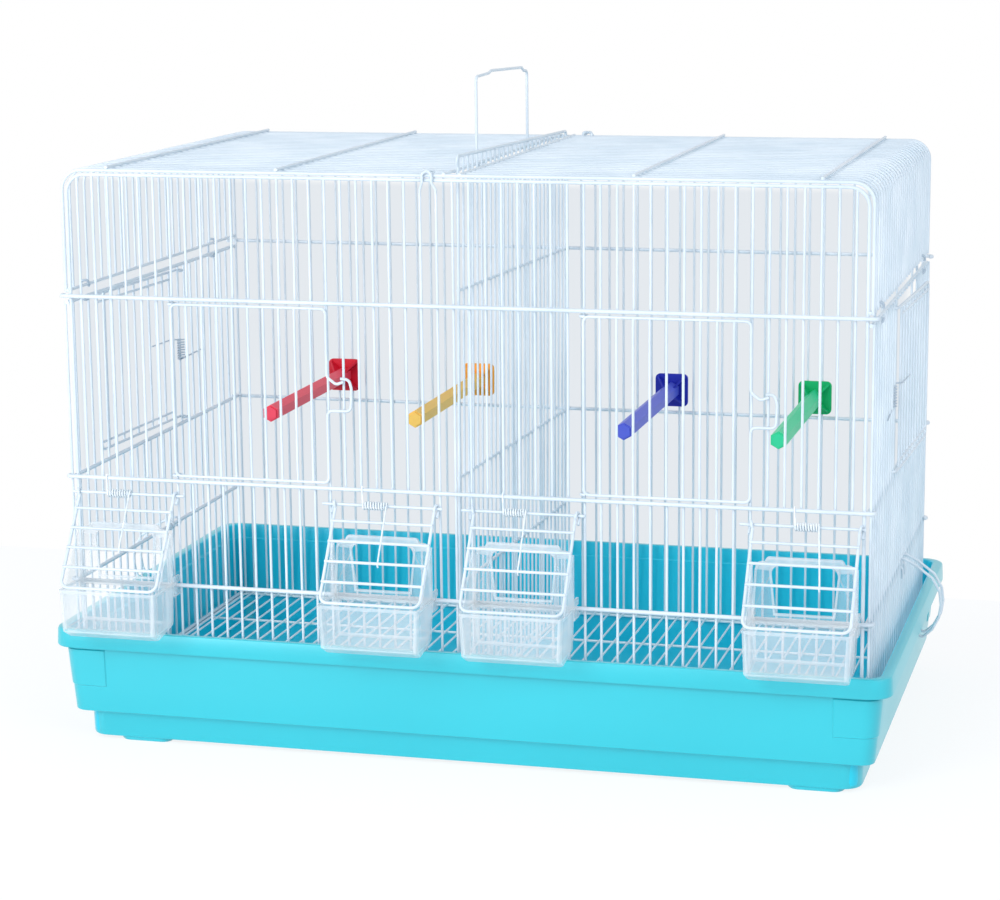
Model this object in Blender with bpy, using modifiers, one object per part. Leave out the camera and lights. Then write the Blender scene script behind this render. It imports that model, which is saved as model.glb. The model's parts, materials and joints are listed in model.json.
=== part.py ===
"""Bird breeding cage: a wire cage with two compartments standing in a moulded tray.

Metres, +Z up. The origin is on the floor, under the middle of the whole object. The front is at -Y.
The wire walls are flat welded sheets with fewer and wider gaps than the real walls have.
"""

import math

import bmesh
import bpy
from mathutils import Matrix, Vector

MM = 0.001

# Driving sizes of the wire cage
CAGE_WIDTH = 600 * MM
CAGE_DEPTH = 347.4 * MM
GROUND_TO_LOWER_RAIL = 126.5 * MM
SHEET = 2.4 * MM
WIRE = 2.0 * MM
RAIL = 3.0 * MM
GAP = 0.35 * MM
END_WIRE_INSET = 3.6 * MM

# Heights, counted from the floor
LOWER_Z = GROUND_TO_LOWER_RAIL
BOTTOM_Z = LOWER_Z - 96.8 * MM
MID_Z = LOWER_Z + 80 * MM
UPPER_Z = LOWER_Z + 217 * MM
DROP_Z = LOWER_Z + 221 * MM
TOP_Z = LOWER_Z + 307 * MM
ROOF_Z = LOWER_Z + 311 * MM
SIDE_TOP_Z = LOWER_Z + 212 * MM
ROOF_BEND = 15 * MM
PANEL_CORNER = 13 * MM

# Tray, whose rim overhangs the cage on every side
RIM_OVER_X = 18.7 * MM
RIM_OVER_Y = 12.7 * MM
RIM_Z = LOWER_Z - 37 * MM
LIP_Z = LOWER_Z - 51.4 * MM
LEDGE_Z = LOWER_Z - 98.7 * MM
TRAY_WALL = 1.9 * MM
FOOT_HEIGHT = 3 * MM
FOOT_SIDE = 41 * MM
FOOT_CORNER = 9 * MM
FOOT_MIDDLES = (48.5 * MM, 564 * MM)
FOOT_SET_BACK = 2.8 * MM

# Feeders: four bays of the front panel
BAY = 84 * MM
FEEDER_BAYS = (0 * MM, 204 * MM, 312 * MM, 516 * MM)
FEEDER_SHIFTS = (1.5 * MM, 0 * MM, -1.8 * MM, -1.6 * MM)
FLAP_SHIFTS = (0.3 * MM, 0.7 * MM, 0 * MM, -0.3 * MM)
HINGE_WIRE_SPANS_MM = ((0.5, 89.5), (198.8, 290), (305, 396.5), (509, 598))
CUP_WIDTH = 77 * MM
CUP_REACH = 48.5 * MM
CUP_BACK = 7.5 * MM
CUP_WALL = 1.6 * MM
CUP_TOP = 3 * MM
CUP_FRONT_BOTTOM = 34.5 * MM
CUP_BACK_BOTTOM = 29.5 * MM
CUP_CHAMFER = 10 * MM
GUARD_TOP = 47.3 * MM
FLAP_WIDTH = 75.6 * MM
FLAP_HINGE_RISE = 68.5 * MM
FLAP_HINGE_OUT = 2.8 * MM
FLAP_FOOT_OUT = 46 * MM
FLAP_FOOT_RISE = 4.8 * MM
FLAP_RUNGS = 5
FIRST_RUNG_SHARE = 0.178
SPRING_SPANS_MM = ((29.3, 46.8), (230.5, 248.4), (336.9, 353.4), (548.8, 565.4))
SPRING_CURLS = 7
POINTS_PER_CURL = 8
SPRING_COIL = 2.75 * MM
SPRING_WIRE = 0.55 * MM

# Front doors: two bays of the front panel
DOOR_BAYS = ((84 * MM, 204 * MM), (396 * MM, 516 * MM))
DOOR_BOTTOM = LOWER_Z + 84.2 * MM
DOOR_TOP = LOWER_Z + 213 * MM
DOOR_OUT = 2.9 * MM
FINGER_REACH = 18 * MM
FINGER_HEIGHTS = (138 * MM, 160 * MM)

# Side panels and nest doors
SIDE_PITCH = CAGE_DEPTH / 25
NEST_FREE_WIRE = 6
NEST_HINGE_WIRE = 16
NEST_BOTTOM = LOWER_Z + 84.5 * MM
NEST_TOP = LOWER_Z + 207 * MM
NEST_OUT = 3.2 * MM
NEST_OVERLAP = 9 * MM
NEST_GAPE = math.radians(2.2)
NEST_SPRING = (LOWER_Z + 130 * MM, LOWER_Z + 147 * MM)

# Divider in the slot between two roof rails
SLOT_HALF = 6 * MM
DIVIDER_FRONT = 4.7 * MM
DIVIDER_LENGTH = 326 * MM
DIVIDER_HEIGHT = 410.5 * MM
DIVIDER_TILT = math.radians(1.58)
DIVIDER_TOP_OVERHANG = 6 * MM
DIVIDER_FOOT_Z = LOWER_Z - 95.3 * MM
ROOF_BARS = (36 * MM, 168 * MM)

# Carry handle, hooked on the left slot rail
HANDLE_WIRE = 1.2 * MM
HANDLE_PATH_MM = ((99, 58), (103, 63.4), (135, 64), (143, 65.5), (233, 62.8), (240, 59.9), (246, 59.6),
                  (250, 55))

# Tray latches, looped on the side panels' lower rails
LATCH_ARMS = (185 * MM, 200 * MM)
LATCH_BOW_MM = ((4.7, 3.6), (14, -1.5), (26, -10.5), (31.8, -21), (33.2, -31), (31.6, -41), (26.5, -51),
                (19.5, -57.6), (13.5, -54.9))

# Perches on the back panel
PERCHES = (("perch_red", 101.5 * MM, 103 * MM, "D0102A"), ("perch_orange", 222 * MM, 103 * MM, "F5A623"),
           ("perch_blue", 390 * MM, 100 * MM, "1428A8"), ("perch_green", 510.5 * MM, 98 * MM, "00B060"))
PERCH_LENGTH = 188 * MM
PERCH_ACROSS = 13 * MM
PLATE_WIDTH = 27.5 * MM
PLATE_THICK = 3.2 * MM

# Where the cage stands, so that the whole object is centred on the origin
LEFT_X = -CAGE_WIDTH / 2
FRONT_Y = CUP_REACH - (CAGE_DEPTH + RIM_OVER_Y + CUP_REACH) / 2
BACK_Y = FRONT_Y + CAGE_DEPTH

WHITE_POWDER = "F2F6FA"
TRAY_CYAN = "2FC9E2"
CLEAR_PLASTIC = "DDE8EE"


def clear_scene():
    for old in list(bpy.data.objects):
        bpy.data.objects.remove(old)


def new_collection(name):
    collection = bpy.data.collections.new(name)
    bpy.context.scene.collection.children.link(collection)
    return collection


def material(name, colour, roughness, metallic=0.0, alpha=1.0):
    """A Principled material in an sRGB hex colour."""
    made = bpy.data.materials.new(name)
    made.use_nodes = True
    shader = made.node_tree.nodes["Principled BSDF"]
    channels = [int(colour[i:i + 2], 16) / 255 for i in (0, 2, 4)]
    shader.inputs["Base Color"].default_value = [c ** 2.2 for c in channels] + [1]
    shader.inputs["Roughness"].default_value = roughness
    shader.inputs["Metallic"].default_value = metallic
    shader.inputs["Alpha"].default_value = alpha
    return made


def add(name, data, finish, place=None):
    """An object in the cage's collection, with its own material."""
    made = bpy.data.objects.new(name, data)
    made.data.materials.clear()
    made.data.materials.append(finish)
    made.matrix_world = place or Matrix()
    parts.objects.link(made)
    return made


def powder_coat(name):
    return material(f"{name}_powder_coat", WHITE_POWDER, 0.35)


# Wire sheets

def rectangle(left, right, low, high):
    return (left, right, low, high)


def upright(centre, low, high, width=WIRE):
    """A wire that runs along v, as a rectangle of the sheet."""
    return rectangle(centre - width / 2, centre + width / 2, low - RAIL / 2, high + RAIL / 2)


def crossing(centre, left, right, width=RAIL):
    """A rail that runs along u, as a rectangle of the sheet."""
    return rectangle(left - WIRE / 2, right + WIRE / 2, centre - width / 2, centre + width / 2)


def distinct(values):
    """Sorted values, with near repeats left out."""
    kept = []
    for value in sorted(values):
        if not kept or value - kept[-1] > 0.02 * MM:
            kept.append(value)
    return kept


def sheet_mesh(name, bars, place, u_folds=(), v_folds=()):
    """One open surface that covers every bar, on a lattice of the bars' edges, mapped by place(u, v)."""
    us = distinct([u for bar in bars for u in bar[:2]] + list(u_folds))
    vs = distinct([v for bar in bars for v in bar[2:]] + list(v_folds))
    mesh = bmesh.new()
    bmesh.ops.create_grid(mesh, x_segments=len(us) - 1, y_segments=len(vs) - 1, size=0.5)
    for vertex in mesh.verts:
        column = round((vertex.co.x + 0.5) * (len(us) - 1))
        row = round((vertex.co.y + 0.5) * (len(vs) - 1))
        vertex.co = (us[column], vs[row], 0)

    def covered(face):
        u, v = face.calc_center_median()[:2]
        return any(left < u < right and low < v < high for left, right, low, high in bars)

    holes = [face for face in mesh.faces if not covered(face)]
    bmesh.ops.delete(mesh, geom=holes, context="FACES")
    for vertex in mesh.verts:
        vertex.co = place(vertex.co.x, vertex.co.y)
    data = bpy.data.meshes.new(name)
    mesh.to_mesh(data)
    mesh.free()
    return data


def sheet(name, bars, place, u_folds=(), v_folds=()):
    """A welded wire sheet as one closed solid."""
    made = add(name, sheet_mesh(name, bars, place, u_folds, v_folds), powder_coat(name))
    skin = made.modifiers.new("wire_thickness", "SOLIDIFY")
    skin.thickness = SHEET
    skin.offset = 0
    return made


def spread(start, end, gaps):
    return [start + (end - start) * i / gaps for i in range(gaps + 1)]


def bake(made):
    """The object's evaluated mesh, welded, with the object removed."""
    bpy.context.view_layer.update()
    evaluated = made.evaluated_get(bpy.context.evaluated_depsgraph_get())
    data = bpy.data.meshes.new_from_object(evaluated)
    mesh = bmesh.new()
    mesh.from_mesh(data)
    bmesh.ops.transform(mesh, matrix=made.matrix_world, verts=mesh.verts)
    bmesh.ops.remove_doubles(mesh, verts=mesh.verts, dist=0.01 * MM)
    mesh.to_mesh(data)
    mesh.free()
    bpy.data.objects.remove(made)
    return data


def combine(name, base, tools, operation="UNION"):
    """The base mesh joined with, or cut by, each tool mesh."""
    target = bpy.data.objects.new(name, base)
    cutters.objects.link(target)
    helpers = []
    for tool in tools:
        helper = bpy.data.objects.new(f"{name}_tool", tool)
        helper.hide_render = True
        helper.display_type = "WIRE"
        cutters.objects.link(helper)
        helpers.append(helper)
        change = target.modifiers.new("join", "BOOLEAN")
        change.operation = operation
        change.object = helper
    joined = bake(target)
    joined.name = name
    for helper in helpers:
        bpy.data.objects.remove(helper)
    return joined


# Bent wires

def wire_curve(name, points, radius, cyclic=False, resolution=1):
    """A round wire along straight stretches between points."""
    curve = bpy.data.curves.new(name, "CURVE")
    curve.dimensions = "3D"
    curve.bevel_depth = radius
    curve.bevel_resolution = resolution
    curve.use_fill_caps = True
    line = curve.splines.new("POLY")
    line.points.add(len(points) - 1)
    for point, place in zip(line.points, points):
        point.co = (*place, 1)
    line.use_cyclic_u = cyclic
    return curve


def wire_mesh(name, points, radius, cyclic=False, resolution=1):
    made = bpy.data.objects.new(name, wire_curve(name, points, radius, cyclic, resolution))
    cutters.objects.link(made)
    return bake(made)


def arc(centre, radius, start, end, steps):
    """Points of an arc in a plane, by angle in degrees."""
    angles = [math.radians(start + (end - start) * i / steps) for i in range(steps + 1)]
    return [(centre[0] + radius * math.cos(a), centre[1] + radius * math.sin(a)) for a in angles]


def outline_mesh(name, outlines, thickness, place):
    """A flat outline with holes, extruded to both sides and put in place."""
    curve = bpy.data.curves.new(name, "CURVE")
    curve.dimensions = "2D"
    curve.fill_mode = "BOTH"
    curve.extrude = thickness / 2
    for outline in outlines:
        line = curve.splines.new("POLY")
        line.points.add(len(outline) - 1)
        for point, (u, v) in zip(line.points, outline):
            point.co = (u, v, 0, 1)
        line.use_cyclic_u = True
    made = bpy.data.objects.new(name, curve)
    made.matrix_world = place
    cutters.objects.link(made)
    return bake(made)


# Tray

def tray_outline(over_x, over_y, z, corner, steps=3):
    """A ring round the cage's plan, that far outside it, with round corners."""
    half_x = CAGE_WIDTH / 2 + over_x
    half_y = CAGE_DEPTH / 2 + over_y
    middle_y = FRONT_Y + CAGE_DEPTH / 2
    ring = []
    for side_x, side_y, turn in ((1, 1, 0), (-1, 1, 90), (-1, -1, 180), (1, -1, 270)):
        centre = (side_x * (half_x - corner), middle_y + side_y * (half_y - corner))
        ring.extend((x, y, z) for x, y in arc(centre, corner, turn, turn + 90, steps))
    return ring


def loft(name, rings):
    """A closed shell through rings of the same count, capped at both ends."""
    mesh = bmesh.new()
    layers = [[mesh.verts.new(point) for point in ring] for ring in rings]
    count = len(rings[0])
    for lower, upper in zip(layers, layers[1:]):
        for i in range(count):
            j = (i + 1) % count
            mesh.faces.new((lower[i], lower[j], upper[j], upper[i]))
    mesh.faces.new(reversed(layers[0]))
    mesh.faces.new(layers[-1])
    bmesh.ops.recalc_face_normals(mesh, faces=mesh.faces)
    if mesh.calc_volume(signed=True) < 0:
        bmesh.ops.reverse_faces(mesh, faces=mesh.faces)
    data = bpy.data.meshes.new(name)
    mesh.to_mesh(data)
    mesh.free()
    return data


def make_tray():
    """Basin, the ledge for the cage, inside wall, overhanging rim, tapered wall and the stepped band below.

    Each profile point is its inset from the rim in mm, its height, and its corner radius in mm.
    """
    floor_z = FOOT_HEIGHT
    band_z = LOWER_Z - 103 * MM
    step_z = LOWER_Z - 49 * MM
    basin_floor_z = floor_z + TRAY_WALL
    under_rim_z = RIM_Z - TRAY_WALL - 1 * MM
    profile = [
        (25.6, basin_floor_z, 7),
        (23.8, basin_floor_z + 1.6 * MM, 8),
        (23.8, LEDGE_Z, 8),
        (13.8, LEDGE_Z, 8),
        (10.4, step_z - 0.6 * MM, 10),
        (9.2, step_z, 11),
        (8.3, RIM_Z, 12),
        (1.6, RIM_Z, 15),
        (0.6, RIM_Z - 0.8 * MM, 15),
        (0, LIP_Z, 15),
        (1.2, LIP_Z, 15),
        (1.6, under_rim_z, 15),
        (6.6, under_rim_z, 13),
        (12.05, LEDGE_Z - TRAY_WALL, 10),
        (21.9, band_z, 15),
        (21.9, floor_z + 1.8 * MM, 15),
        (22.8, floor_z, 14),
    ]
    rings = [tray_ring(inset * MM, z, corner * MM) for inset, z, corner in profile]
    shell = loft("tray_shell", rings)
    feet = [foot_mesh(middle, side_y) for middle in FOOT_MIDDLES for side_y in (-1, 1)]
    add("tray", combine("tray", shell, feet), material("tray_polypropylene", TRAY_CYAN, 0.3))


def tray_ring(inset, z, corner):
    """A ring that far inside the rim. The front and back walls stand steeper than the ends."""
    return tray_outline(RIM_OVER_X - inset, RIM_OVER_Y - inset * 0.62, z, corner)


def foot_mesh(middle, side_y):
    """One corner foot, flush with the band, with sloping ends and cut corners."""
    centre_y = FRONT_Y + CAGE_DEPTH / 2 + side_y * (CAGE_DEPTH / 2 - FOOT_SET_BACK - FOOT_SIDE / 2)

    def ring(half_u, z):
        half_v = FOOT_SIDE / 2
        points = []
        for side_u, side_v in ((1, 1), (-1, 1), (-1, -1), (1, -1)):
            ends = [(half_u, half_v - FOOT_CORNER), (half_u - FOOT_CORNER, half_v)]
            if side_u * side_v < 0:
                ends.reverse()
            points += [(LEFT_X + middle + side_u * u, centre_y + side_v * v, z) for u, v in ends]
        return points

    return loft("tray_foot", [ring(FOOT_SIDE / 2, 0), ring(FOOT_SIDE / 2 + 2 * MM, FOOT_HEIGHT + 1 * MM)])


def make_grate():
    """Flat grate lying on the tray's ledge inside the cage walls."""
    half_x = CAGE_WIDTH / 2 - 4.5 * MM
    front = 4.5 * MM
    back = CAGE_DEPTH - 4.5 * MM
    bars = [upright(u, front, back) for u in spread(-half_x, half_x, 20)]
    bars += [crossing(v, -half_x, half_x) for v in spread(front, back, 3)]
    top_z = LEDGE_Z + GAP + SHEET / 2
    sheet("floor_grate", bars, lambda u, v: (u, FRONT_Y + v, top_z))


# Cage walls

def wall_wires(bays):
    """Wire places across a wall, given each bay's edges and its number of gaps."""
    places = []
    for left, right, gaps in bays:
        places.extend(spread(left, right, gaps))
    return distinct(places)


def panel_place(y):
    """Stands a wall at y and draws its two top corners in, under the roof unit's bends."""
    draw_in = PANEL_CORNER * (1 - math.sqrt(0.5))

    def place(u, v):
        from_end = min(u, CAGE_WIDTH - u)
        if from_end < END_WIRE_INSET + RAIL and v > TOP_Z - RAIL:
            u += draw_in if u < CAGE_WIDTH / 2 else -draw_in
            v -= draw_in
        return (LEFT_X + u, y, v)

    return place


def panel_sheet(name, bars, y):
    u_folds = (END_WIRE_INSET + PANEL_CORNER, CAGE_WIDTH - END_WIRE_INSET - PANEL_CORNER)
    sheet(name, bars, panel_place(y), u_folds, (TOP_Z - PANEL_CORNER,))


def front_wire(u):
    """A front wire, left out where a feeder or a door opens."""
    inside_feeder = any(bay + WIRE < u < bay + BAY - WIRE for bay in FEEDER_BAYS)
    inside_door = any(left + WIRE < u < right - WIRE for left, right in DOOR_BAYS)
    if inside_feeder:
        return [upright(u, BOTTOM_Z, LOWER_Z), upright(u, MID_Z, TOP_Z)]
    if inside_door:
        return [upright(u, BOTTOM_Z, MID_Z), upright(u, UPPER_Z, TOP_Z)]
    return [upright(u, BOTTOM_Z, TOP_Z)]


def make_front_panel():
    bays = [(END_WIRE_INSET, 84 * MM, 3), (84 * MM, 204 * MM, 5), (204 * MM, 288 * MM, 3), (288 * MM, 312 * MM, 1),
            (312 * MM, 396 * MM, 3), (396 * MM, 516 * MM, 5), (516 * MM, CAGE_WIDTH - END_WIRE_INSET, 3)]
    bars = [bar for u in wall_wires(bays) for bar in front_wire(u)]
    bars += [crossing(z, END_WIRE_INSET, CAGE_WIDTH - END_WIRE_INSET) for z in (BOTTOM_Z, LOWER_Z, MID_Z, UPPER_Z, TOP_Z)]
    panel_sheet("front_panel", bars, FRONT_Y)


def make_back_panel():
    wires = wall_wires([(END_WIRE_INSET, CAGE_WIDTH - END_WIRE_INSET, 18)])
    bars = [upright(u, BOTTOM_Z, TOP_Z) for u in wires]
    bars += [crossing(z, END_WIRE_INSET, CAGE_WIDTH - END_WIRE_INSET) for z in (BOTTOM_Z, LOWER_Z, MID_Z, UPPER_Z, TOP_Z)]
    panel_sheet("back_panel", bars, BACK_Y)


def side_wire(i):
    """A side wire, left out across the nest opening."""
    v = i * SIDE_PITCH
    if NEST_FREE_WIRE < i < NEST_HINGE_WIRE:
        return [upright(v, BOTTOM_Z, MID_Z), upright(v, SIDE_TOP_Z, SIDE_TOP_Z)]
    return [upright(v, BOTTOM_Z, SIDE_TOP_Z)]


def side_frame(side):
    """The frame of a side wall: u runs along its depth from its own front. The right wall is turned round."""
    if side == "left":
        return Matrix.Translation((LEFT_X, FRONT_Y, 0)) @ Matrix.Rotation(math.radians(90), 4, "Z")
    return Matrix.Translation((-LEFT_X, BACK_Y, 0)) @ Matrix.Rotation(math.radians(-90), 4, "Z")


def make_side_panels():
    kept = sorted({0, 25, *range(0, NEST_FREE_WIRE + 1, 2), *range(NEST_FREE_WIRE, NEST_HINGE_WIRE + 1, 2),
                   *range(NEST_HINGE_WIRE, 25, 2)} - {24})
    bars = [bar for i in kept for bar in side_wire(i)]
    bars += [crossing(z, 0, CAGE_DEPTH) for z in (BOTTOM_Z, LOWER_Z, MID_Z, SIDE_TOP_Z)]
    for side in ("left", "right"):
        frame = side_frame(side)
        sheet(f"side_panel_{side}", bars, lambda u, v, frame=frame: frame @ Vector((u, 0, v)))


def make_roof_unit():
    """One sheet bent to an inverted U. u runs up the left drop, over the roof and down the right drop."""
    drop = ROOF_Z - ROOF_BEND - DROP_Z
    bend = ROOF_BEND * math.pi / 2
    flat = CAGE_WIDTH - 2 * ROOF_BEND
    total = 2 * drop + 2 * bend + flat

    def place(u, v):
        mirrored = u > total / 2
        run = total - u if mirrored else u
        if run <= drop:
            x, z = 0, DROP_Z + run
        elif run <= drop + bend:
            angle = (run - drop) / ROOF_BEND
            x = ROOF_BEND * (1 - math.cos(angle))
            z = ROOF_Z - ROOF_BEND + ROOF_BEND * math.sin(angle)
        else:
            x, z = ROOF_BEND + run - drop - bend, ROOF_Z
        x = CAGE_WIDTH - x if mirrored else x
        return (LEFT_X + x, FRONT_Y + v, z)

    def u_of(x):
        return drop + bend + x - ROOF_BEND

    slot = (u_of(CAGE_WIDTH / 2 - SLOT_HALF), u_of(CAGE_WIDTH / 2 + SLOT_HALF))
    bars = [rectangle(-RAIL / 2, total + RAIL / 2, v - RAIL / 2, v + RAIL / 2) for v in (0, CAGE_DEPTH)]
    for v in spread(0, CAGE_DEPTH, 13)[1:-1]:
        bars.append(rectangle(-RAIL / 2, slot[0] + RAIL / 2, v - WIRE / 2, v + WIRE / 2))
        bars.append(rectangle(slot[1] - RAIL / 2, total + RAIL / 2, v - WIRE / 2, v + WIRE / 2))
    across = [0, *map(u_of, ROOF_BARS), *slot, *[u_of(CAGE_WIDTH - x) for x in reversed(ROOF_BARS)], total]
    bars += [rectangle(u - RAIL / 2, u + RAIL / 2, -RAIL / 2, CAGE_DEPTH + RAIL / 2) for u in across]
    folds = spread(drop, drop + bend, 3)
    folds += [total - u for u in folds]
    sheet("roof_unit", bars, place, folds)


def make_divider():
    """Sliding partition, standing on the grate and leaning back a little in the roof slot."""
    foot = Matrix.Translation((0, FRONT_Y + DIVIDER_FRONT + DIVIDER_LENGTH, DIVIDER_FOOT_Z))
    lean = Matrix.Rotation(-DIVIDER_TILT, 4, "X")
    frame = foot @ lean
    low, high = RAIL / 2, DIVIDER_HEIGHT - RAIL / 2
    bars = [upright(-v, low, high) for v in spread(0, DIVIDER_LENGTH, 11)]
    heights = (low, LOWER_Z - DIVIDER_FOOT_Z, MID_Z - DIVIDER_FOOT_Z, UPPER_Z - DIVIDER_FOOT_Z, high)
    bars += [crossing(z, -DIVIDER_LENGTH, 0) for z in heights]
    bars.append(crossing(high, -DIVIDER_LENGTH - DIVIDER_TOP_OVERHANG, 0))
    sheet("divider", bars, lambda u, v: frame @ Vector((0, u, v)))


def make_ring_clips():
    """Oval rings that tie the roof unit's drop rails to the side panels' top rails."""
    reach = 1.5 * MM + GAP + 1 * MM
    for side, x in (("left", LEFT_X), ("right", -LEFT_X)):
        for end, y in (("front", 34.4 * MM), ("back", 299.8 * MM)):
            loop = [(x + dx, DROP_Z + dz) for dx, dz in arc((0, 0), reach, 0, 180, 4)]
            loop += [(x + dx, SIDE_TOP_Z + dz) for dx, dz in arc((0, 0), reach, 180, 360, 4)]
            points = [(px, FRONT_Y + y, pz) for px, pz in loop]
            name = f"ring_clip_{side}_{end}"
            add(name, wire_curve(name, points, 0.9 * MM, cyclic=True), powder_coat(name))


def make_roof_hooks():
    """Wire hooks that hold the tops of the front and back panels to the roof unit."""
    for end, y, u, out in (("front", FRONT_Y, 282 * MM, -1), ("back", BACK_Y, 324 * MM, 1)):
        reach = 1.5 * MM + GAP + 1 * MM
        x = LEFT_X + u
        over = arc((0, 0), reach, 0, 180, 4)
        under = arc((0, 0), reach, 180, 360, 4)
        loop = [(dx, ROOF_Z + dz) for dx, dz in over] + [(dx, TOP_Z + dz) for dx, dz in under]
        points = [(x, y + out * dy, z) for dy, z in loop]
        name = f"roof_hook_{end}"
        add(name, wire_curve(name, points, 0.9 * MM, cyclic=True), powder_coat(name))


# Doors

def hinge_eye(name, z, radius, start, end):
    """An open eye round a hinge wire that stands at the origin, in the plane at height z."""
    points = [(x, y, z) for x, y in arc((0, 0), radius, start, end, 6)]
    return wire_mesh(name, points, WIRE / 2)


def make_front_door(name, left, right):
    """Wire door in front of the panel, hooked round the wire at its left edge, with a finger latch."""
    width = right - left
    low, high = DOOR_BOTTOM, DOOR_TOP
    finger_low, finger_high = (LOWER_Z + rise for rise in FINGER_HEIGHTS)
    tip = width + FINGER_REACH
    edge = WIRE / 2
    bars = [rectangle(u - edge, u + edge, low - edge, high + edge) for u in spread(0, width, 5)[:-1]]
    bars += [rectangle(-edge, width + edge, z - edge, z + edge) for z in (low, high)]
    bars += [rectangle(width - edge, width + edge, low - edge, finger_low + edge),
             rectangle(width - edge, width + edge, finger_high - edge, high + edge)]
    bars += [rectangle(width - edge, tip + edge, z - edge, z + edge) for z in (finger_low, finger_high)]
    bars.append(rectangle(tip - edge, tip + edge, finger_low - edge, finger_high + edge))
    flat = bpy.data.objects.new(name, sheet_mesh(name, bars, lambda u, v: (u, -DOOR_OUT, v)))
    cutters.objects.link(flat)
    skin = flat.modifiers.new("wire_thickness", "SOLIDIFY")
    skin.thickness = WIRE
    skin.offset = 0
    eyes = [hinge_eye(name, z, DOOR_OUT, 275, 30) for z in (low + 0.1 * MM, high - 0.1 * MM)]
    door = combine(name, bake(flat), eyes)
    add(name, door, powder_coat(name), Matrix.Translation((LEFT_X + left, FRONT_Y, 0)))


def nest_frame(side):
    """The hinge wire of a nest door: +X runs towards the free edge and +Y points out of the cage."""
    hinge = side_frame(side) @ Matrix.Translation((NEST_HINGE_WIRE * SIDE_PITCH, 0, 0))
    return hinge @ Matrix.Rotation(math.radians(180), 4, "Z") @ Matrix.Scale(-1, 4, (0, 1, 0))


def make_nest_doors():
    """Sprung doors that lie on the outside of the side panels, over the nest openings."""
    width = (NEST_HINGE_WIRE - NEST_FREE_WIRE) * SIDE_PITCH + NEST_OVERLAP
    edge = WIRE / 2
    first = 13 * MM
    wires = spread(first, width, 5)
    rails = (NEST_BOTTOM, NEST_BOTTOM + 6 * MM, NEST_TOP - 6 * MM, NEST_TOP)
    bars = [rectangle(u - edge, u + edge, rails[0] - edge, rails[-1] + edge) for u in wires]
    bars += [rectangle(-edge, width + edge, z - edge, z + edge) for z in (rails[0], rails[-1])]
    bars += [rectangle(first - edge, width + edge, z - edge, z + edge) for z in rails[1:-1]]
    for side in ("left", "right"):
        name = f"nest_door_{side}"
        flat = bpy.data.objects.new(name, sheet_mesh(name, bars, lambda u, v: (u, NEST_OUT, v)))
        cutters.objects.link(flat)
        skin = flat.modifiers.new("wire_thickness", "SOLIDIFY")
        skin.thickness = WIRE
        skin.offset = 0
        eyes = [hinge_eye(name, z, NEST_OUT, 85, 330) for z in (rails[0], rails[-1])]
        door = combine(name, bake(flat), eyes)
        turn_mesh(door, nest_frame(side) @ Matrix.Rotation(NEST_GAPE, 4, "Z"))
        add(name, door, powder_coat(name))


def turn_mesh(data, frame):
    """Puts a mesh in place, with its faces pointing out whether or not the frame is mirrored."""
    mesh = bmesh.new()
    mesh.from_mesh(data)
    bmesh.ops.transform(mesh, matrix=frame, verts=mesh.verts)
    bmesh.ops.recalc_face_normals(mesh, faces=mesh.faces)
    mesh.to_mesh(data)
    mesh.free()


# Springs

def coil(start, end, first_turn, last_turn):
    """Points of a coil along +X about the origin, eight to each curl, between two angles."""
    steps = round(abs(last_turn - first_turn) / (2 * math.pi) * POINTS_PER_CURL)
    points = []
    for i in range(steps + 1):
        share = i / steps
        angle = first_turn + (last_turn - first_turn) * share
        x = start + (end - start) * share
        points.append(Vector((x, SPRING_COIL * math.cos(angle), SPRING_COIL * math.sin(angle))))
    return points


def report_spring_gap(name, pitch):
    print(f"{name}: the curls stand {(pitch - 2 * SPRING_WIRE) / MM:.2f} mm apart")


def make_flap_springs():
    """Torsion springs on the flap hinge wires: one leg up on the mid rail, one down on the flap."""
    slope = flap_slope()
    down = Vector((0, -math.sin(slope), -math.cos(slope)))
    for number, (start, end) in enumerate(SPRING_SPANS_MM, 1):
        name = f"flap_spring_{number}"
        axis = Vector((LEFT_X, FRONT_Y - FLAP_HINGE_OUT, LOWER_Z + FLAP_HINGE_RISE))
        curls = coil(start * MM, end * MM, math.pi, math.pi - slope + 2 * math.pi * SPRING_CURLS)
        up = curls[0] + Vector((-0.6 * MM, 0, 15 * MM))
        path = [axis + p for p in (up, *curls, curls[-1] + down * 44 * MM)]
        report_spring_gap(name, (end - start) * MM / SPRING_CURLS)
        add(name, wire_curve(name, path, SPRING_WIRE), material(f"{name}_spring_wire", WHITE_POWDER, 0.3))


def make_nest_springs():
    """Torsion springs on the nest door hinge wires: the upper leg on the door, the lower on the panel."""
    low, high = NEST_SPRING
    for side in ("left", "right"):
        name = f"nest_door_spring_{side}"
        frame = nest_frame(side)
        stand = frame @ Matrix.Translation((0, 0, low)) @ Matrix.Rotation(math.radians(-90), 4, "Y")
        curls = [stand @ p for p in coil(0, high - low, 0, -2 * math.pi * SPRING_CURLS)]
        panel_leg = frame @ Vector((-55 * MM, SPRING_COIL + 0.2 * MM, low))
        door_leg = [frame @ Vector((x * MM, NEST_OUT + y * MM, high)) for x, y in ((10, 2.8), (44, 4.3))]
        report_spring_gap(name, (high - low) / SPRING_CURLS)
        path = [panel_leg, *curls, *door_leg]
        add(name, wire_curve(name, path, SPRING_WIRE), material(f"{name}_spring_wire", WHITE_POWDER, 0.3))


# Feeders

def feeder_centre(number):
    return LEFT_X + FEEDER_BAYS[number] + BAY / 2 + FEEDER_SHIFTS[number]


def flap_slope():
    """The flap's angle from upright."""
    return math.atan2(FLAP_FOOT_OUT - FLAP_HINGE_OUT, FLAP_HINGE_RISE - FLAP_FOOT_RISE)


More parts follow.
